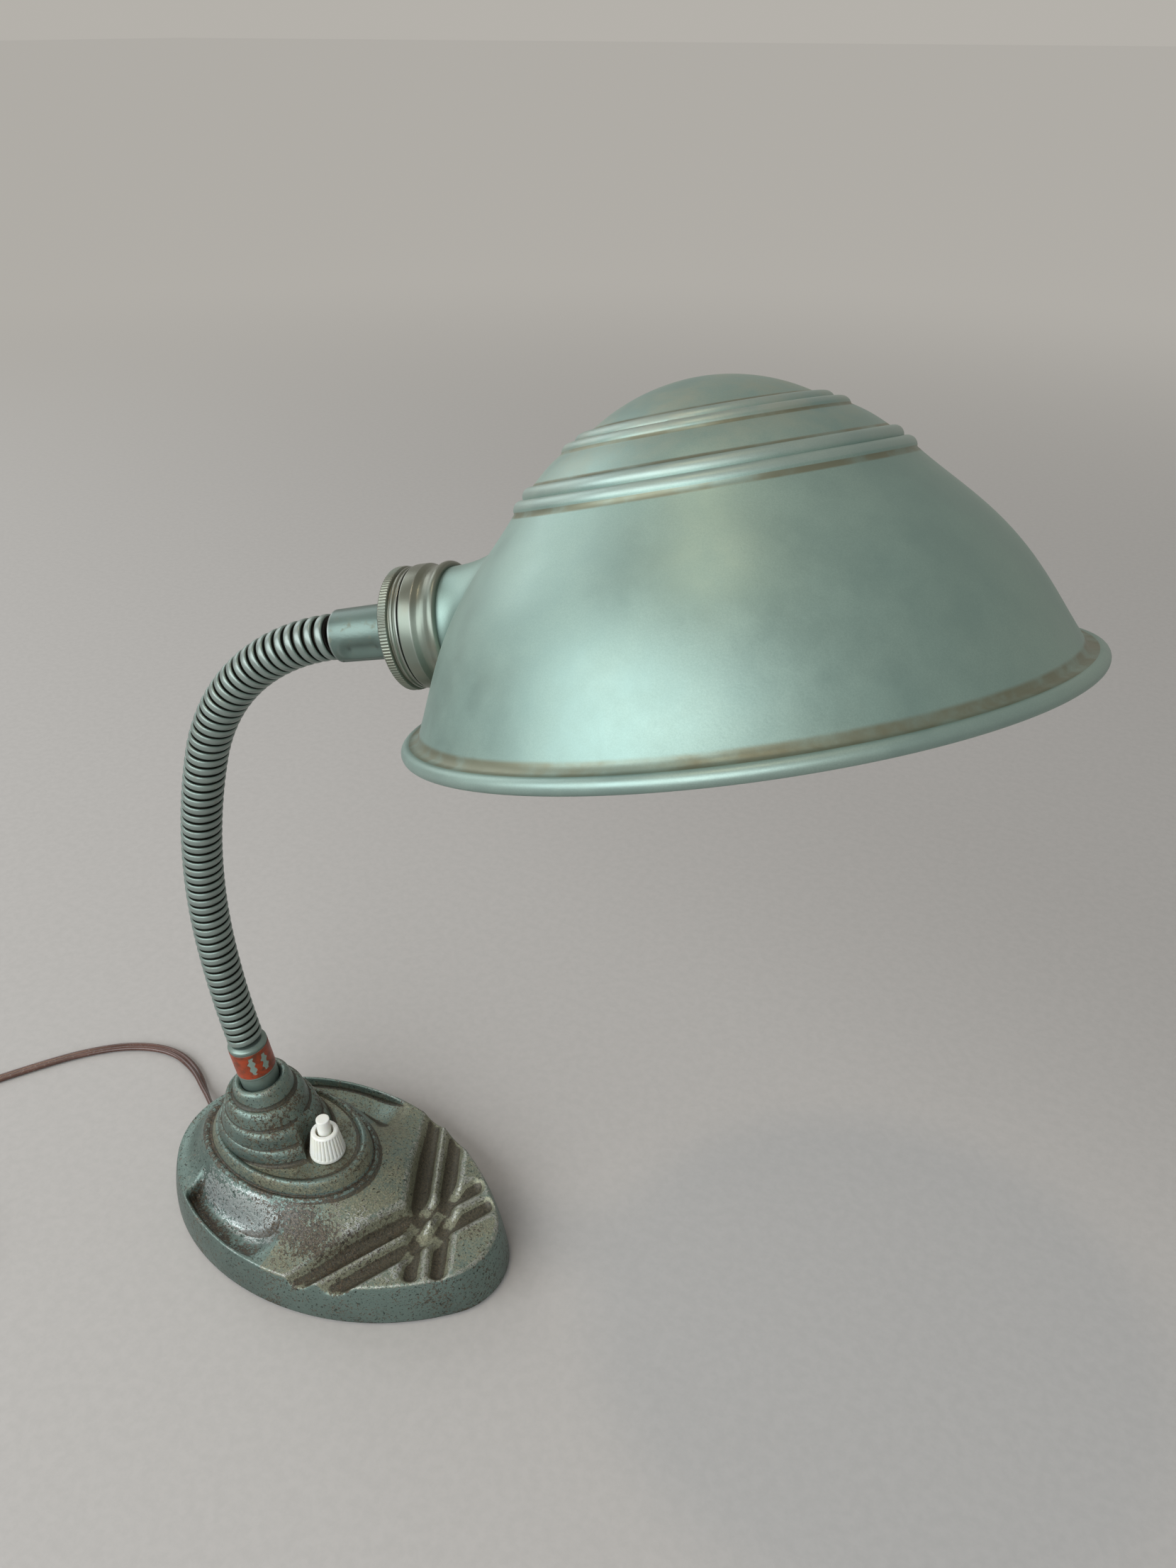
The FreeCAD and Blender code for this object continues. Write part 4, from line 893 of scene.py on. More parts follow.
# ------------------------------------------------------------- switch
def build_collar(plastic):
    """Fluted collar of the switch."""
    low, high = (corner.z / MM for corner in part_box("switch_collar"))

    def flutes(ring, along, turn):
        foot, head = (min(1.0, max(0.0, gap / 0.8)) for gap in (along - low - 1.3, high - 0.7 - along))
        wave = np.abs(np.sin(turn * SWITCH_FLUTES / 2)) ** 0.6
        return ring - 0.42 * foot * head * (1 - wave) * (ring > 5.6)

    profile = [(SWITCH_COLLAR_R, low), (SWITCH_COLLAR_R, low + 1.1)]
    profile += [(SWITCH_COLLAR_R - 1.9 * t, low + 1.2 + 11.9 * t) for t in np.linspace(0, 1, 14)]
    profile += [(5.5, high), (4.0, high), (3.9, low + 8.0), (5.05, low + 8.0), (5.05, low)]
    collar = turned("switch_collar_fluted", softened(profile, 0.35), upright(SWITCH_X, 0, 0),
                    SWITCH_FLUTES * 12, flutes)
    dress(collar, "base", "white_plastic", plastic, replaces=("switch_collar",))


def build_button(plastic):
    low, high = (corner.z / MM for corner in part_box("switch_button"))
    profile = [(0.05, low), (BUTTON_R, low), (BUTTON_R, BUTTON_FLANGE_Z), (BUTTON_STEM_R, BUTTON_FLANGE_Z),
               (BUTTON_STEM_R, high - 0.1), (2.4, high), (0.05, high)]
    button = turned("switch_push_button", softened(profile, 0.5, 4, closed=False),
                    upright(SWITCH_X, 0, 0), 64, closed=False)
    dress(button, "button", "white_plastic", plastic, replaces=("switch_button",))


def build_spring():
    """Coil spring under the button."""
    low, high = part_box("switch_spring")
    coil_radius = (high.y - low.y) / MM / 2 - SPRING_WIRE_R
    wire = full_turn(12)
    rows = []
    for share in np.linspace(0, 1, SPRING_TURNS * 24 + 1):
        turn = 2 * math.pi * SPRING_TURNS * share
        out = np.array([math.cos(turn), math.sin(turn), 0.0])
        middle = np.array([SWITCH_X, 0, low.z / MM + SPRING_WIRE_R]) + coil_radius * out
        middle[2] += share * ((high.z - low.z) / MM - 2 * SPRING_WIRE_R)
        rows.append(ring_at((middle, out, np.array([0, 0, 1.0]), np.zeros(3)), SPRING_WIRE_R, 0.0, wire))
    spring = ring_piece("switch_coil_spring", rows, capped=(True, True))
    steel = plain_finish("spring steel", (0.42, 0.42, 0.41), 0.32, 1.0)
    dress(spring, "base", "steel", steel, replaces=("switch_spring",))
    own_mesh(spring)


class LAMP_OT_switch(bpy.types.Operator):
    """Build the fluted switch collar, its push button and the spring"""
    bl_idname = "lamp.switch"
    bl_label = "Push switch"

    def execute(self, context):
        plastic = switch_plastic()
        build_collar(plastic)
        build_button(plastic)
        build_spring()
        return {"FINISHED"}


# ------------------------------------------------------------- neck
def band_profile(radius):
    """Outside of one rounded band, from its root on one side to the other."""
    half = BAND_HALF_WIDTH
    crest = [(radius - 0.34 * abs(t) ** 3.2, t * (half - 0.08)) for t in np.linspace(-1, 1, 9)]
    return [(radius - 1.9, 0.15 - half), (radius - 0.8, -half), *crest,
            (radius - 0.8, half), (radius - 1.9, half - 0.15)]


def build_link(index, paint, core):
    """Four wound bands on a dark core."""
    radius = sizes().band_radius / MM
    first = FERRULE_LENGTH + (index * BANDS_PER_LINK + 0.5) * BAND_PITCH
    stations = [first + i * BAND_PITCH for i in range(BANDS_PER_LINK)]
    turn = full_turn(72)
    lean = math.tan(math.radians(BAND_TILT)) * np.cos(turn - math.radians(15.0))
    profile = band_profile(radius) + [(radius - 2.4, 0.9), (radius - 2.4, -0.9)]
    level = [np.interp(abs(along), (0.95, 1.34), (0.07, -0.03)) if r > radius - 0.6 else -0.1
             for r, along in profile]
    points, faces = [], []
    for station in stations:
        place = neck_place(station)
        faces += ring_faces(len(profile), len(turn), len(points), joined=True)
        for r, along in profile:
            points.extend(ring_at(place, r, along + r * lean, turn))
    edge = np.tile(np.repeat(level, len(turn)), BANDS_PER_LINK)
    number = "%02d" % (index + 1)
    bands = mesh_piece("neck_bands_" + number, points, faces, marks={"edge": edge}, sharp=50.0)
    dress(bands, "link_" + number, "shade_paint", paint, replaces=("neck_link_" + number,))
    ends = [(first, -0.7)] + [(station, 0) for station in stations] + [(stations[-1], 0.7)]
    rows = [ring_at(neck_place(*end), reach, 0.0, turn)
            for reach, order in ((CORE_RADIUS, ends), (NECK_BORE_RADIUS, ends[::-1])) for end in order]
    tube = ring_piece("neck_core_" + number, rows, joined=True)
    dress(tube, "link_" + number, "shade_paint", core)


class LAMP_OT_neck(bpy.types.Operator):
    """Build the ferrule, the wound bands of the flexible neck and its upper sleeve"""
    bl_idname = "lamp.neck"
    bl_label = "Flexible neck"

    def execute(self, context):
        paint, core = neck_paint(), dark_core()
        for index in range(LINK_COUNT):
            build_link(index, paint, core)
        radius = sizes().ferrule_radius / MM
        profile = [(NECK_BORE_RADIUS, -22.5), (6.4, -22.5), (6.4, -7.5), (radius, -7.5), (radius, 4.6),
                   (radius + 0.12, 5.0), (radius, 5.5), (radius, FERRULE_LENGTH - 3.7),
                   (radius + 0.12, FERRULE_LENGTH - 3.4), (radius + 0.12, FERRULE_LENGTH - 2.5),
                   (radius - 0.3, FERRULE_LENGTH - 2.0), (7.0, FERRULE_LENGTH - 1.2),
                   (NECK_BORE_RADIUS, FERRULE_LENGTH - 1.2)]
        ferrule = turned("ferrule_tube", softened(profile, 0.3), neck_place(0.0), 96)
        dress(ferrule, "base", "shade_paint", paint, replaces=("neck_ferrule",))
        build_ferrule_band(radius)
        build_sleeve(neck_paint("sleeve paint", 0.46))
        return {"FINISHED"}


def build_ferrule_band(radius):
    """Painted band with two lengthwise chips and worn ends."""
    profile = [(radius + 0.2, z) for z in np.linspace(PAINT_FROM + 0.1, PAINT_TO - 0.1, 22)]
    profile = [(radius + 0.03, PAINT_FROM), *profile, (radius + 0.03, PAINT_TO)]
    turn = full_turn(128)
    piece = turned("ferrule_paint_band", profile, neck_place(0.0), len(turn))
    towards = math.radians(-52.0)
    marks = []
    for _, z in profile:
        chip = 0 * turn
        wide = 1.7 * (1 + 0.35 * math.sin(z * 1.9))
        for centre, middle, half in ((towards - 0.12, 12.6, 5.4), (towards + 0.56, 12.4, 5.2)):
            gap = wrapped(turn - centre) * radius
            chip = np.maximum(chip, 0.66 * np.exp(-(gap / wide) ** 4 - ((z - middle) / half) ** 6))
        marks.append(chip + 0.35 * math.exp(-min(z - PAINT_FROM, PAINT_TO - z) / 0.8))
    mark_points(piece.data, "chip", marks)
    dress(piece, "base", "ferrule_rust", band_paint(), replaces=("ferrule_band",))


def build_sleeve(paint):
    """Upper sleeve with a pressed dimple in one side and a lengthwise crease beside it."""
    place = neck_place(FERRULE_LENGTH + LINK_COUNT * BANDS_PER_LINK * BAND_PITCH)
    turn = full_turn(128)
    outer = [(5.0, 1.2), (7.0, 1.2), (7.9, 1.35), (SLEEVE_RADIUS - 0.25, 1.7)]
    outer += [(SLEEVE_RADIUS + 0.45 * (z - 2) / 24, z) for z in np.linspace(2.0, SLEEVE_LENGTH - 0.4, 44)]
    outer += [(9.1, SLEEVE_LENGTH), (5.0, SLEEVE_LENGTH), (5.0, SLEEVE_LENGTH - 7), (4.6, SLEEVE_LENGTH - 7)]
    dimple_gap, crease_gap = (wrapped(turn - math.radians(side)) for side in (DIMPLE_SIDE, CREASE_SIDE))
    rows = []
    for r, z in outer:
        ring = r + 0 * turn
        if r > 7.5:
            beyond = max(0.0, abs(z - DIMPLE_MIDDLE) - 4.5)
            dent = eased(np.clip(1 - np.hypot(dimple_gap * r, beyond) / DIMPLE_REACH, 0, 1))
            crease = np.exp(-(crease_gap * r / CREASE_HALF_WIDTH) ** 2) * (3 < z < 25)
            ring = ring - DIMPLE_DEPTH * dent - CREASE_DEPTH * crease
        rows.append(ring_at(place, ring, z, turn))
    sleeve = ring_piece("neck_upper_sleeve", rows, joined=True, marks={"edge": relief(rows, True)})
    dress(sleeve, "holder", "shade_paint", paint, replaces=("neck_sleeve",))


# ------------------------------------------------------------- lampholder
class LAMP_OT_holder(bpy.types.Operator):
    """Build the knurled cap, the turned collar and the ring of the lampholder"""
    bl_idname = "lamp.holder"
    bl_label = "Lampholder"

    def execute(self, context):
        metal = patina_metal()
        radius = sizes().holder_radius / MM
        place = head_place()

        def knurl(ring, along, turn):
            share = 0.22 * (0.9 < along < 3.5)
            return ring - share * (ring > radius - 1.0) * (0.5 + 0.5 * np.cos(turn * KNURL_TEETH))

        cap = [(5.0, 0.0), (radius - 1.6, 0.0), (radius - 0.5, 0.5)]
        cap += [(radius, z) for z in (1.0, 1.6, 2.2, 2.8, 3.4)]
        cap += [(radius - 0.4, 3.7), (radius - 1.0, 3.9), (radius - 1.0, 4.5), (radius - 0.4, 4.8),
                (radius - 0.4, 5.5), (radius - 0.8, 5.8), (radius - 0.8, 6.1), (radius - 0.4, 6.4),
                (radius - 0.4, 7.1), (16.7, 7.2), (16.7, 3.0), (5.0, 3.0)]
        piece = turned("holder_knurled_cap", softened(cap, 0.18, 2), place, KNURL_TEETH * 8, knurl)
        dress(piece, "holder", "holder_brass", metal, replaces=("holder_cap",))
        collar = [(17.1, 7.7), (radius - 0.2, 7.7), (radius, 8.1), (radius, 12.0), (radius - 0.45, 12.8),
                  (radius - 1.0, 13.8), (radius - 1.15, 15.0), (radius - 0.95, 16.2), (radius - 0.5, 17.2),
                  (radius - 0.15, 17.9), (radius - 0.05, 18.6), (radius - 0.2, 19.4), (radius - 0.9, 20.0),
                  (SPOUT_RADIUS, 20.0), (SPOUT_RADIUS, 13.0), (17.1, 13.0)]
        piece = turned("shade_turned_collar", softened(collar, 0.3, 3), place, 192)
        keep_outside_dome(piece)
        dress(piece, "shade", "holder_brass", metal, replaces=("shade_collar",))
        ring = [(16.7, 40.0), (20.5, 40.0), (20.5, 44.5), (16.7, 44.5)]
        piece = turned("shade_fixing_ring", softened(ring, 0.6, 3), place, 96)
        dress(piece, "holder", "holder_brass", metal, replaces=("shade_ring",))
        dress_node("lampholder_ceramic", plain_finish("glazed ceramic", (0.78, 0.77, 0.72), 0.22))
        return {"FINISHED"}


# ------------------------------------------------------------- shade
def arc_points(a, b, c, count):
    """Points along the circle through three profile points."""
    ax, ay, bx, by, cx, cy = *a, *b, *c
    d = 2 * (ax * (by - cy) + bx * (cy - ay) + cx * (ay - by))
    aa, bb, cc = ax * ax + ay * ay, bx * bx + by * by, cx * cx + cy * cy
    ux = (aa * (by - cy) + bb * (cy - ay) + cc * (ay - by)) / d
    uy = (aa * (cx - bx) + bb * (ax - cx) + cc * (bx - ax)) / d
    start, middle, end = (math.atan2(p[1] - uy, p[0] - ux) for p in (a, b, c))
    radius = math.hypot(ax - ux, ay - uy)
    sweep = math.remainder(end - start, 2 * math.pi)
    if abs(math.remainder(middle - start, 2 * math.pi)) > abs(sweep):
        sweep -= math.copysign(2 * math.pi, sweep)
    return [(ux + radius * math.cos(start + sweep * t), uy + radius * math.sin(start + sweep * t))
            for t in np.linspace(0, 1, count)]


def dome_profile(inwards, count):
    points = []
    last = len(DOME_POINTS) - 1
    for i, (r, z) in enumerate(DOME_POINTS):
        before, after = DOME_POINTS[max(0, i - 1)], DOME_POINTS[min(last, i + 1)]
        run, rise = after[0] - before[0], after[1] - before[1]
        size = math.hypot(run, rise)
        points.append((r - inwards * rise / size, z + inwards * run / size))
    points = np.array(points)
    reach = np.concatenate([[0.0], np.cumsum(np.hypot(*np.diff(points, axis=0).T))]) / 100.0
    smooth = [np.polyfit(reach, points[:, i], last) for i in (0, 1)]
    stations = np.linspace(0, reach[-1], 2 * count - 1)
    return list(zip(np.polyval(smooth[0], stations), np.polyval(smooth[1], stations)))


def bead_profile(points):
    out = []
    for (r0, z0), (r1, z1) in zip(points, points[1:]):
        run, rise = r1 - r0, z1 - z0
        size = math.hypot(run, rise)
        crest = ((r0 + r1) / 2 + BEAD_PROUD * rise / size, (z0 + z1) / 2 - BEAD_PROUD * run / size)
        out += arc_points((r0, z0), crest, (r1, z1), 9)
    return out


def shade_outside():
    """Outside profile from the rolled rim to the top."""
    dome = dome_profile(0.0, 22)
    cap = arc_points(BEADS_UPPER[-1], (18.0, 89.6), (0.15, CAP_TOP), 16)
    (r0, z0), (r1, z1) = BEADS_LOWER[-1], BEADS_UPPER[0]
    cone = [(r0 + (r1 - r0) * t, z0 + (z1 - z0) * t + 0.5 * math.sin(math.pi * t))
            for t in np.linspace(0, 1, 10)]
    return dome[1:-1] + bead_profile(BEADS_LOWER) + cone[1:-1] + bead_profile(BEADS_UPPER) + cap[1:]


def shade_inside():
    """Inside profile from the top to the rim."""
    dome = dome_profile(SHADE_WALL, 22)
    band_end = (BEADS_UPPER[0][0] - 0.5, BEADS_UPPER[0][1] - SHADE_WALL)
    top = (0.15, CAP_TOP - SHADE_WALL)
    cap = arc_points(band_end, (22.0, 86.4 - SHADE_WALL), top, 14)
    return (dome + cap)[::-1]


def rim_profile():
    """Rolled bead, from the inside of the dome round to its outside."""
    middle, bead = sizes().shade_rim_radius / MM, sizes().rim_bead / MM
    inside = [(97.3, 3.4), (97.7, 1.9), (98.6, 0.7)]
    roll = [(middle + bead * math.sin(t), bead - bead * math.cos(t)) for t in np.linspace(-0.5, 3.45, 18)]
    return inside + roll


def dome_radius(height):
    """Outside radius of the dome at a height above the rim."""
    profile = shade_outside()
    heights = [z for _, z in profile]
    return np.interp(height, heights, [r for r, _ in profile])


def spout_rows(count=192):
    """Rings of the side spout: from inside the collar, flaring out into the dome."""
    place = origin, up, side, axis = head_place()
    centre, across, beside, shade_up = shade_place()
    turn = full_turn(count)

    def meet(radius, sink):
        """Where lines beside the holder's axis reach the dome, or a little under it."""
        reach = np.arange(5.0, 70.0, 0.1)
        out = []
        for t, rho in zip(turn, np.broadcast_to(radius, turn.shape)):
            start = origin + rho * (math.cos(t) * up + math.sin(t) * side)
            points = start + reach[:, None] * axis - centre
            height = points @ shade_up
            gap = np.hypot(points @ across, points @ beside) - dome_radius(height)
            inside = np.nonzero((gap < 0) & (height > RIM_ZONE))[0]
            out.append(reach[inside[0]] + sink)
        return np.array(out)

    flare = 4.0 + 5.0 * np.clip(np.cos(turn), -0.4, 1)
    corner = meet(SPOUT_RADIUS, 0.0)
    root = meet(SPOUT_RADIUS + flare, 0.35)
    start = np.minimum(corner - 2.0 - 0.55 * flare, SPOUT_FLARE_START)
    level = SPOUT_RADIUS - 0.02
    rings = [ring_at(place, level, reach, turn) for reach in (SPOUT_START, np.minimum(start, SPOUT_STEM_END))]
    for t in np.linspace(0, 1, 14):
        a, b, c = (1 - t) ** 2, 2 * t * (1 - t), t * t
        radius = a * level + b * level + c * (SPOUT_RADIUS + flare)
        rings.append(ring_at(place, radius, a * start + b * (corner - 0.6) + c * root, turn))
    return np.array(rings)


def keep_outside_dome(piece, gap=0.25):
    """Draw the points of the collar that are inside the dome back to its surface."""
    origin, _, _, axis = head_place()
    centre, across, beside, shade_up = shade_place()
    reach = np.arange(4.0, 22.0, 0.05)
    for vertex in piece.data.vertices:
        point = np.array(vertex.co) / MM
        along = (point - origin) @ axis
        line = point + (reach[:, None] - along) * axis - centre
        height = line @ shade_up
        inside = np.hypot(line @ across, line @ beside) < dome_radius(height)
        inside &= height > RIM_ZONE
        if inside.any() and along > reach[inside][0] - gap:
            vertex.co = (point + (reach[inside][0] - gap - along) * axis) * MM


class LAMP_OT_shade(bpy.types.Operator):
    """Build the spun shade with its beads, rolled rim, side spout and enamelled inside"""
    bl_idname = "lamp.shade"
    bl_label = "Shade"

    def execute(self, context):
        paint = pearl_paint("shade paint")
        enamel = plain_finish("inside enamel", (0.78, 0.76, 0.68), 0.35, grain=260.0, spread=0.10)
        inside, rim, outside = shade_inside(), rim_profile(), shade_outside()
        profile = inside + rim + outside
        slots = [1] * (len(inside) + 3) + [0] * (len(rim) - 3 + len(outside))
        shade = turned("shade_spun", profile, shade_place(), SHADE_SEGMENTS, closed=False, slots=slots,
                       sharp=60.0)
        mark_points(shade.data, "height", np.repeat([z for _, z in profile], SHADE_SEGMENTS))
        dress(shade, "shade", "shade_paint", paint, enamel, replaces=("shade",))
        rows = spout_rows()
        spout = ring_piece("shade_spout", rows, marks={"edge": relief(rows)}, sharp=60.0)
        dress(spout, "shade", "shade_paint", paint)
        return {"FINISHED"}


# ------------------------------------------------------------- bulb
class LAMP_OT_bulb(bpy.types.Operator):
    """Build the bulb's glass and screw cap and finish its insulator"""
    bl_idname = "lamp.bulb"
    bl_label = "Bulb"

    def execute(self, context):
        place = head_place()
        radius = sizes().bulb_radius / MM
        centre = BULB_TIP - radius
        glass = plain_finish("frosted glass", (0.88, 0.88, 0.85), 0.30, grain=900.0, spread=0.04,
                             subsurface_weight=0.1)
        profile = [(12.4, 36.0), (12.6, 40.0), (13.4, 45.0), (15.2, 50.0)]
        profile += [(radius * math.sin(t), centre - radius * math.cos(t))
                    for t in np.linspace(0.86, math.pi - 0.01, 26)]
        bulb = turned("bulb_globe", profile, place, 96, closed=False)
        dress(bulb, "holder", "bulb_glass", glass, replaces=("bulb_glass",))
        metal = plain_finish("bulb cap metal", (0.66, 0.66, 0.64), 0.28, metallic=0.95)
        cap = [(10.4, 17.3), (12.0, 18.6)]
        cap += [(12.9 + 0.28 * math.cos(z * 2 * math.pi / 3.6), z) for z in np.linspace(19.6, 36.6, 60)]
        cap += [(12.4, 37.6), (12.2, 38.0)]
        screw = turned("bulb_screw_cap", cap, place, 96, closed=False)
        dress(screw, "holder", "bulb_metal", metal, replaces=("bulb_cap",))
        dress_node("bulb_insulator", plain_finish("black glass", (0.02, 0.02, 0.02), 0.15))
        return {"FINISHED"}


# ------------------------------------------------------------- flex
def coil_points():
    """Turns of the put-away coil: three layers of three, then the last third over the top."""
    points = []
    total = len(COIL_TURNS) - 1 + (COIL_END - COIL_START) / 360
    steps = int(total * 18)
    for i in range(1, steps + 1):
        turns = total * i / steps
        index = min(int(turns), len(COIL_TURNS) - 1)
        r, z = COIL_TURNS[index]
        ahead = COIL_TURNS[min(index + 1, len(COIL_TURNS) - 1)]
        share = eased(min(1.0, max(0.0, (turns - index - 0.72) / 0.28)))
        r, z = r + (ahead[0] - r) * share, z + (ahead[1] - z) * share
        angle = math.radians(COIL_START) + 2 * math.pi * turns
        points.append((COIL_CENTRE[0] + r * MM * math.cos(angle), COIL_CENTRE[1] + r * MM * math.sin(angle),
                       z * MM))
    return points


def flex_line():
    """The flex's smooth middle line, from its spline."""
    curve = bpy.data.curves.new("flex route", "CURVE")
    curve.dimensions = "3D"
    curve.resolution_u = 12
    spline = curve.splines.new("NURBS")
    x, y, z = PLUG_START
    points = list(CORD_ROUTE) + coil_points() + [(x - 0.012, y, z + 0.0012), (x, y, z)]
    spline.points.add(len(points) - 1)
    for point, place in zip(spline.points, points):
        point.co = (*place, 1.0)
    spline.order_u = 3
    spline.use_endpoint_u = True
    holder = bpy.data.objects.new("flex route", curve)
    bpy.context.scene.collection.objects.link(holder)
    bpy.context.view_layer.update()
    mesh = bpy.data.meshes.new_from_object(holder.evaluated_get(bpy.context.evaluated_depsgraph_get()))
    line = np.array([v.co[:] for v in mesh.vertices])
    bpy.data.objects.remove(holder)
    bpy.data.curves.remove(curve)
    bpy.data.meshes.remove(mesh)
    return line


def even_line(line, step):
    steps = np.linalg.norm(np.diff(line, axis=0), axis=1)
    travelled = np.concatenate([[0], np.cumsum(steps)])
    count = max(2, int(travelled[-1] / step))
    at = np.linspace(0, travelled[-1], count)
    return np.stack([np.interp(at, travelled, line[:, i]) for i in range(3)], -1), at


def flex_section(count=24):
    """Twin section: two round cores side by side with a groove between them."""
    half_width, half_thick = sizes().flex_width / 2, sizes().flex_thickness / 2
    turn = full_turn(count)
    u = half_width * np.cos(turn)
    waist = 1 - 0.42 * np.exp(-(u / (0.22 * half_width)) ** 2)
    v = half_thick * np.sign(np.sin(turn)) * np.abs(np.sin(turn)) ** 0.75 * waist
    return u, v


def build_flex(plastic):
    line, at = even_line(flex_line(), FLEX_STEP)
    along = np.gradient(line, axis=0)
    along /= np.linalg.norm(along, axis=1, keepdims=True)
    flat = np.cross([0, 0, 1.0], along)
    flat /= np.linalg.norm(flat, axis=1, keepdims=True)
    over = np.cross(along, flat)
    roll = np.radians(EXIT_TWIST) * np.clip(1 - (at - TWIST_FROM) / TWIST_RUN, 0, 1) ** 1.2
    u, v = flex_section()
    rows = []
    for point, side, top, twist in zip(line, flat, over, roll):
        wide = math.cos(twist) * side + math.sin(twist) * top
        thin = -math.sin(twist) * side + math.cos(twist) * top
        rows.append((point + np.outer(u, wide) + np.outer(v, thin)) / MM)
    piece = ring_piece("power_flex", rows, capped=(True, True), sharp=60.0)
    dress(piece, "base", "cord", plastic, replaces=("power_cord", "cord_coil", "cord_tail"))
    return piece, line


def build_tie(black):
    """Flat tie round the coil's bundle."""
    half, bottom, top = 7.6, 0.25, 9.3
    section = softened([(-half, bottom), (half, bottom), (half, top), (-half, top)], 2.2, 5)
    rows = []
    for x, grow in ((-3.2, 0.0), (-3.4, 0.35), (3.4, 0.35), (3.2, 0.0)):
        centre = np.array([COIL_CENTRE[0] / MM, COIL_CENTRE[1] / MM + 27.0, 0])
        ring = []
        for y, z in section:
            push = unit((y / half, (z - 4.8) / 4.6)) * grow
            ring.append(centre + np.array([x, y + push[0], max(0.02, z + push[1])]))
        rows.append(ring)
    tie = ring_piece("flex_tie", rows, joined=True)
    dress(tie, "base", "black_plastic", black, replaces=("cord_tie",))
    return tie


def rounded_box_rows(low, high, edge, steps=5):
    """Rings of a box with rounded edges, from its low X face to its high one."""
    low, high = np.asarray(low, float), np.asarray(high, float)
    quarter = np.linspace(0, math.pi / 2, steps)
    ends = [(low[0] + edge * (1 - math.cos(t)), edge * (1 - math.sin(t))) for t in quarter]
    levels = ends + [(low[0] + high[0] - x, s) for x, s in reversed(ends)]
    rings = []
    for x, shrink in levels:
        corners = []
        for sy, sz, start in ((1, 1, 0), (-1, 1, 90), (-1, -1, 180), (1, -1, 270)):
            for t in quarter:
                turn = math.radians(start) + t
                y = (high[1] - edge if sy > 0 else low[1] + edge) + (edge - shrink) * math.cos(turn)
                z = (high[2] - edge if sz > 0 else low[2] + edge) + (edge - shrink) * math.sin(turn)
                corners.append((x, y, z))
        rings.append(corners)
    return rings


def build_plug(plastic):
    """Two-pin plug with a waisted grip and a ribbed relief."""
    low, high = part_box("plug_body")
    rear, front = np.array(low) / MM, np.array(high) / MM
    rear[0] = PLUG_START[0] / MM + RELIEF_LENGTH
    rings = [np.array(ring) for ring in rounded_box_rows(rear, front, 3.0)]
    centre_y = (rear[1] + front[1]) / 2
    middle = []
    for t in np.linspace(0, 1, 13)[1:-1]:
        row = rings[4] * (1 - t) + rings[-5] * t
        row[:, 1] = centre_y + (row[:, 1] - centre_y) * (1 - 0.16 * math.exp(-((t - 0.38) / 0.2) ** 2))
        middle.append(row)
    body = ring_piece("plug_shell", rings[:5] + middle + rings[-5:], capped=(True, True))
    dress(body, "base", "cord", plastic, replaces=("plug_body",))
    ribs = [(0.05, -0.3), (2.2, -0.3)]
    for i in range(RIB_COUNT):
        r, along = 3.1 + 0.16 * i, i * RIB_PITCH
        ribs += [(r, along), (r + 0.25, along + 1.4), (r - 0.5, along + 1.5), (r - 0.5, along + 2.1)]
    ribs += [(4.4, RELIEF_LENGTH + 0.2), (0.05, RELIEF_LENGTH + 0.2)]
    place = (np.array(PLUG_START) / MM, np.array([0, 0, 1.0]), np.array([0, -1.0, 0]), np.array([1.0, 0, 0]))
    strain = turned("plug_strain_relief", softened(ribs, 0.25, 2, closed=False), place, 48, closed=False)
    dress(strain, "base", "cord", plastic)
    return body, strain


class LAMP_OT_flex(bpy.types.Operator):
    """Build the flat flex from the base to its coil, the tie and the plug, and finish the pins, the flex
    inside the base and the bushing
    """
    bl_idname = "lamp.flex"
    bl_label = "Flex and plug"

    def execute(self, context):
        plastic = flex_plastic()
        flex, line = build_flex(plastic)
        tie = build_tie(plain_finish("tie plastic", (0.03, 0.03, 0.03), 0.4))
        plug = build_plug(plastic)
        dress_node("plug_pins", plain_finish("nickel", (0.66, 0.65, 0.61), 0.2, metallic=1.0))
        dress_node("cord_inside", plastic)
        dress_node("cord_bushing", plain_finish("bushing rubber", (0.028, 0.026, 0.024), 0.55))
        return {"FINISHED"}


# ------------------------------------------------------------- stage
def seen_directly(tree):
    """1 for rays from the camera and off glossy or clear surfaces, 0 for the rest."""
    path = tree.nodes.new("ShaderNodeLightPath")
    total = path.outputs["Is Camera Ray"]
    for name in ("Is Glossy Ray", "Is Transmission Ray"):
        either = tree.nodes.new("ShaderNodeMath")
        either.operation = "MAXIMUM"
        tree.links.new(total, either.inputs[0])
        tree.links.new(path.outputs[name], either.inputs[1])
        total = either.outputs[0]
    return total


def blend_to(tree, share, near, far, output):
    """Send a mix of two shaders to a tree's output."""
    blend = tree.nodes.new("ShaderNodeMixShader")
    for socket, source in enumerate((share, near.outputs[0], far.outputs[0])):
        tree.links.new(source, blend.inputs[socket])
    tree.links.new(blend.outputs[0], tree.nodes[output].inputs["Surface"])


def backdrop(tree, kind):
    """Shader in the colour of the room beyond the floor."""
    node = tree.nodes.new(kind)
    node.inputs["Color"].default_value = (*BACKDROP, 1.0)
    return node


def aimed(name, data, place, look):
    """New light or camera at a place, facing along a direction."""
    item = bpy.data.objects.new(name, data)
    item.location = place
    item.rotation_mode = "QUATERNION"
    item.rotation_quaternion = look.to_track_quat("-Z", "Y")
    bpy.context.scene.collection.objects.link(item)
    return item


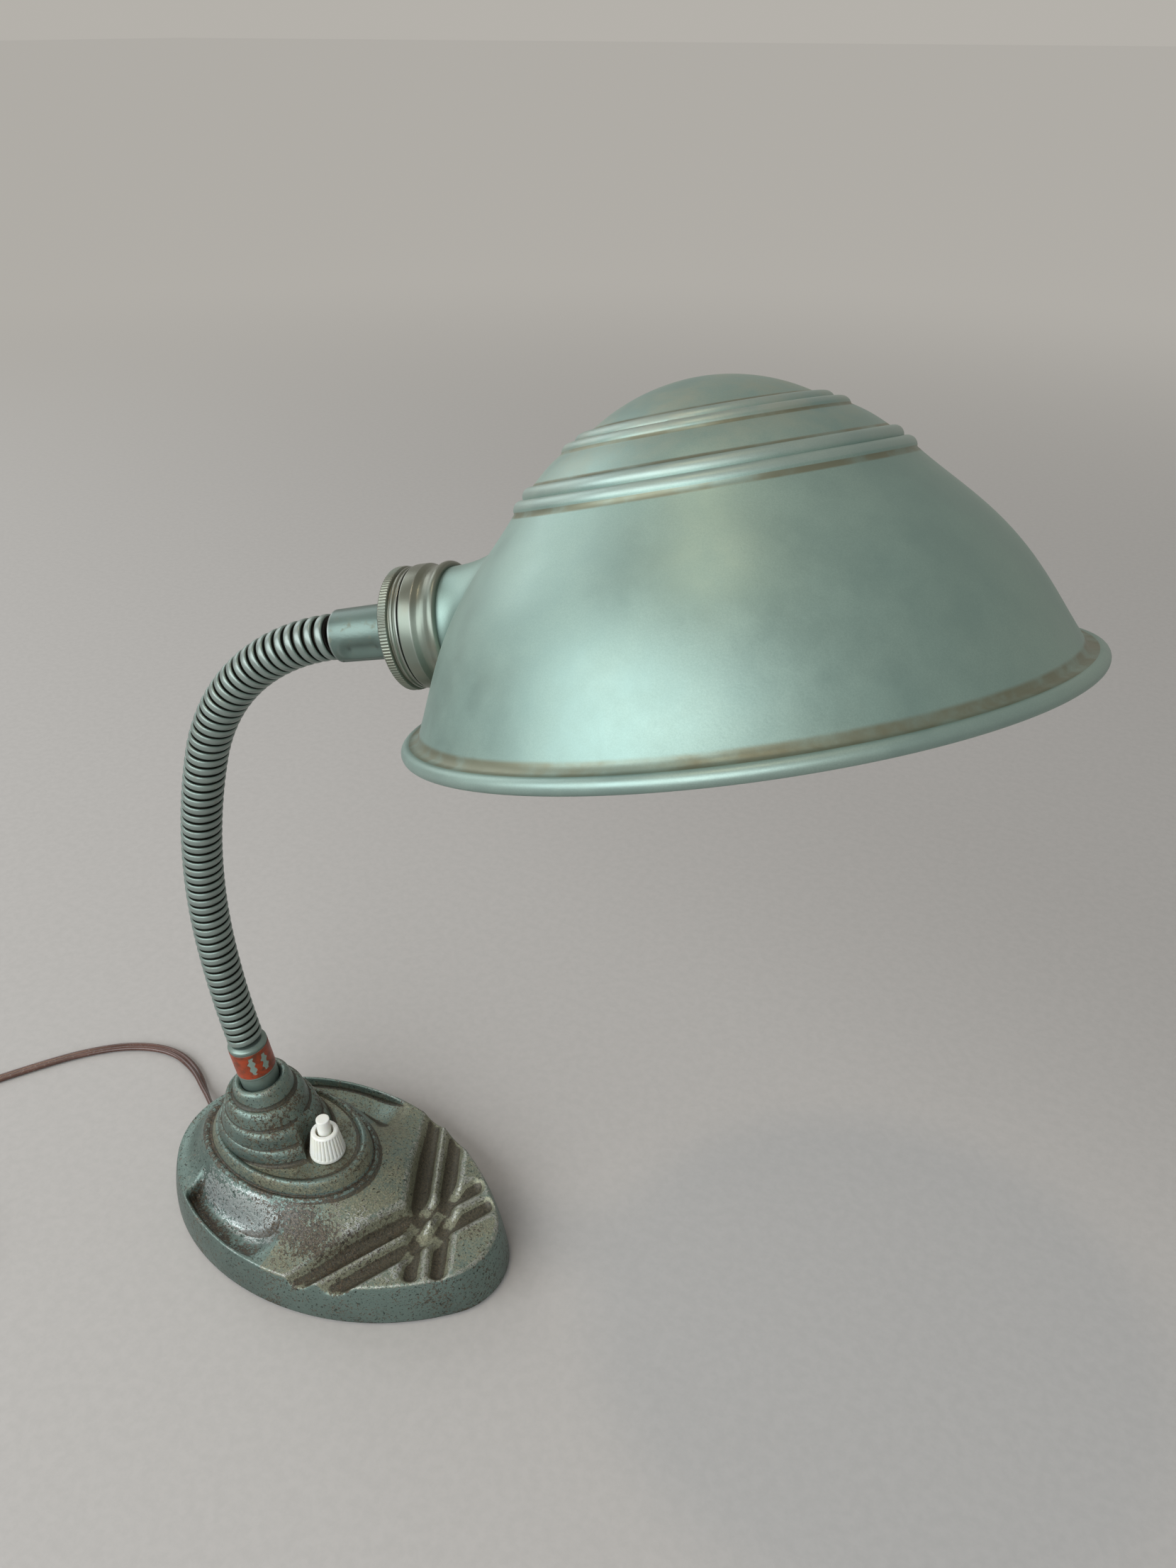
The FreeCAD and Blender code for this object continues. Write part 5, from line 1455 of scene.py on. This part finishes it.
def lay_floor():
    """Wide floor that turns to the backdrop's colour with distance, where it is seen directly."""
    finish = Finish("pale floor", roughness=0.85, specular_ior_level=0.2)
    grain = finish.patches(0.3, 0.7, 220.0, 5.0, 0.65)
    finish.set("Base Color", finish.tones(grain, colours().floor, 0.97, 1.03))
    distance = finish.node("ShaderNodeVectorMath", "Value", {"operation": "LENGTH"}, i0=finish.place)
    share = finish.times(seen_directly(finish.tree), finish.between(distance, *FLOOR_FADE))
    glow = backdrop(finish.tree, "ShaderNodeEmission")
    blend_to(finish.tree, share, finish.shader, glow, "Material Output")
    mesh = bpy.data.meshes.new("floor")
    corners = [(x * FLOOR_HALF_SIZE, y * FLOOR_HALF_SIZE, 0) for x, y in ((-1, -1), (1, -1), (1, 1), (-1, 1))]
    mesh.from_pydata(corners, [], [(0, 1, 2, 3)])
    mesh.materials.append(finish.material)
    floor = bpy.data.objects.new("floor", mesh)
    bpy.context.scene.collection.objects.link(floor)


def soft_world():
    world = bpy.data.worlds.new("soft room")
    world.use_nodes = True
    tree = world.node_tree
    background = tree.nodes["Background"]
    background.inputs["Color"].default_value = (*ROOM_LIGHT, 1.0)
    background.inputs["Strength"].default_value = ROOM_STRENGTH
    blend_to(tree, seen_directly(tree), background, backdrop(tree, "ShaderNodeBackground"), "World Output")
    return world


def soft_light(name, place, width, power, tint):
    light = bpy.data.lights.new(name, "AREA")
    light.shape = "RECTANGLE"
    light.size, light.size_y = width, min(width, LIGHT_HEIGHT)
    light.energy, light.color = power, tint
    aimed(name, light, place, Vector(LIGHT_TARGET) - Vector(place))


def stage_camera():
    camera = bpy.data.cameras.new("camera")
    camera.sensor_width = 36.0
    camera.lens = CAMERA_LENS
    camera.clip_start, camera.clip_end = 0.02, 100.0
    pitch = math.radians(CAMERA_PITCH)
    look = Vector(CAMERA_HEADING).normalized() * math.cos(pitch) - Vector((0, 0, math.sin(pitch)))
    return aimed("camera", camera, CAMERA_PLACE, look)


class LAMP_OT_stage(bpy.types.Operator):
    """Lay the pale floor and set the soft lights, the world and the camera"""
    bl_idname = "lamp.stage"
    bl_label = "Stage"

    def execute(self, context):
        context.scene.view_settings.view_transform = "Standard"
        lay_floor()
        context.scene.world = soft_world()
        for light in LIGHTS:
            soft_light(*light)
        context.scene.camera = stage_camera()
        return {"FINISHED"}


# ------------------------------------------------------------- panel and run
OPERATORS = (LAMP_OT_stage, LAMP_OT_base, LAMP_OT_underside, LAMP_OT_switch, LAMP_OT_neck,
             LAMP_OT_holder, LAMP_OT_shade, LAMP_OT_bulb, LAMP_OT_flex)


class LAMP_PT_panel(bpy.types.Panel):
    """Lists the lamp's pieces and what can be changed on them"""
    bl_idname = "LAMP_PT_panel"
    bl_label = "Gooseneck Lamp"
    bl_space_type = "VIEW_3D"
    bl_region_type = "UI"
    bl_category = "Lamp"

    def draw(self, context):
        for group in (context.scene.lamp_sizes, context.scene.lamp_colours):
            for key in group.__annotations__:
                self.layout.prop(group, key)
        for operator in OPERATORS:
            self.layout.operator(operator.bl_idname)


CLASSES = (LampSizes, LampColours) + OPERATORS + (LAMP_PT_panel,)


def register():
    for item in CLASSES:
        bpy.utils.register_class(item)
    bpy.types.Scene.lamp_sizes = bpy.props.PointerProperty(type=LampSizes)
    bpy.types.Scene.lamp_colours = bpy.props.PointerProperty(type=LampColours)


def unregister():
    del bpy.types.Scene.lamp_colours
    del bpy.types.Scene.lamp_sizes
    for item in reversed(CLASSES):
        bpy.utils.unregister_class(item)


def main():
    register()
    for piece in ("stage", "base", "underside", "switch", "neck", "holder", "shade", "bulb", "flex"):
        getattr(bpy.ops.lamp, piece)()


if __name__ == "__main__":
    main()
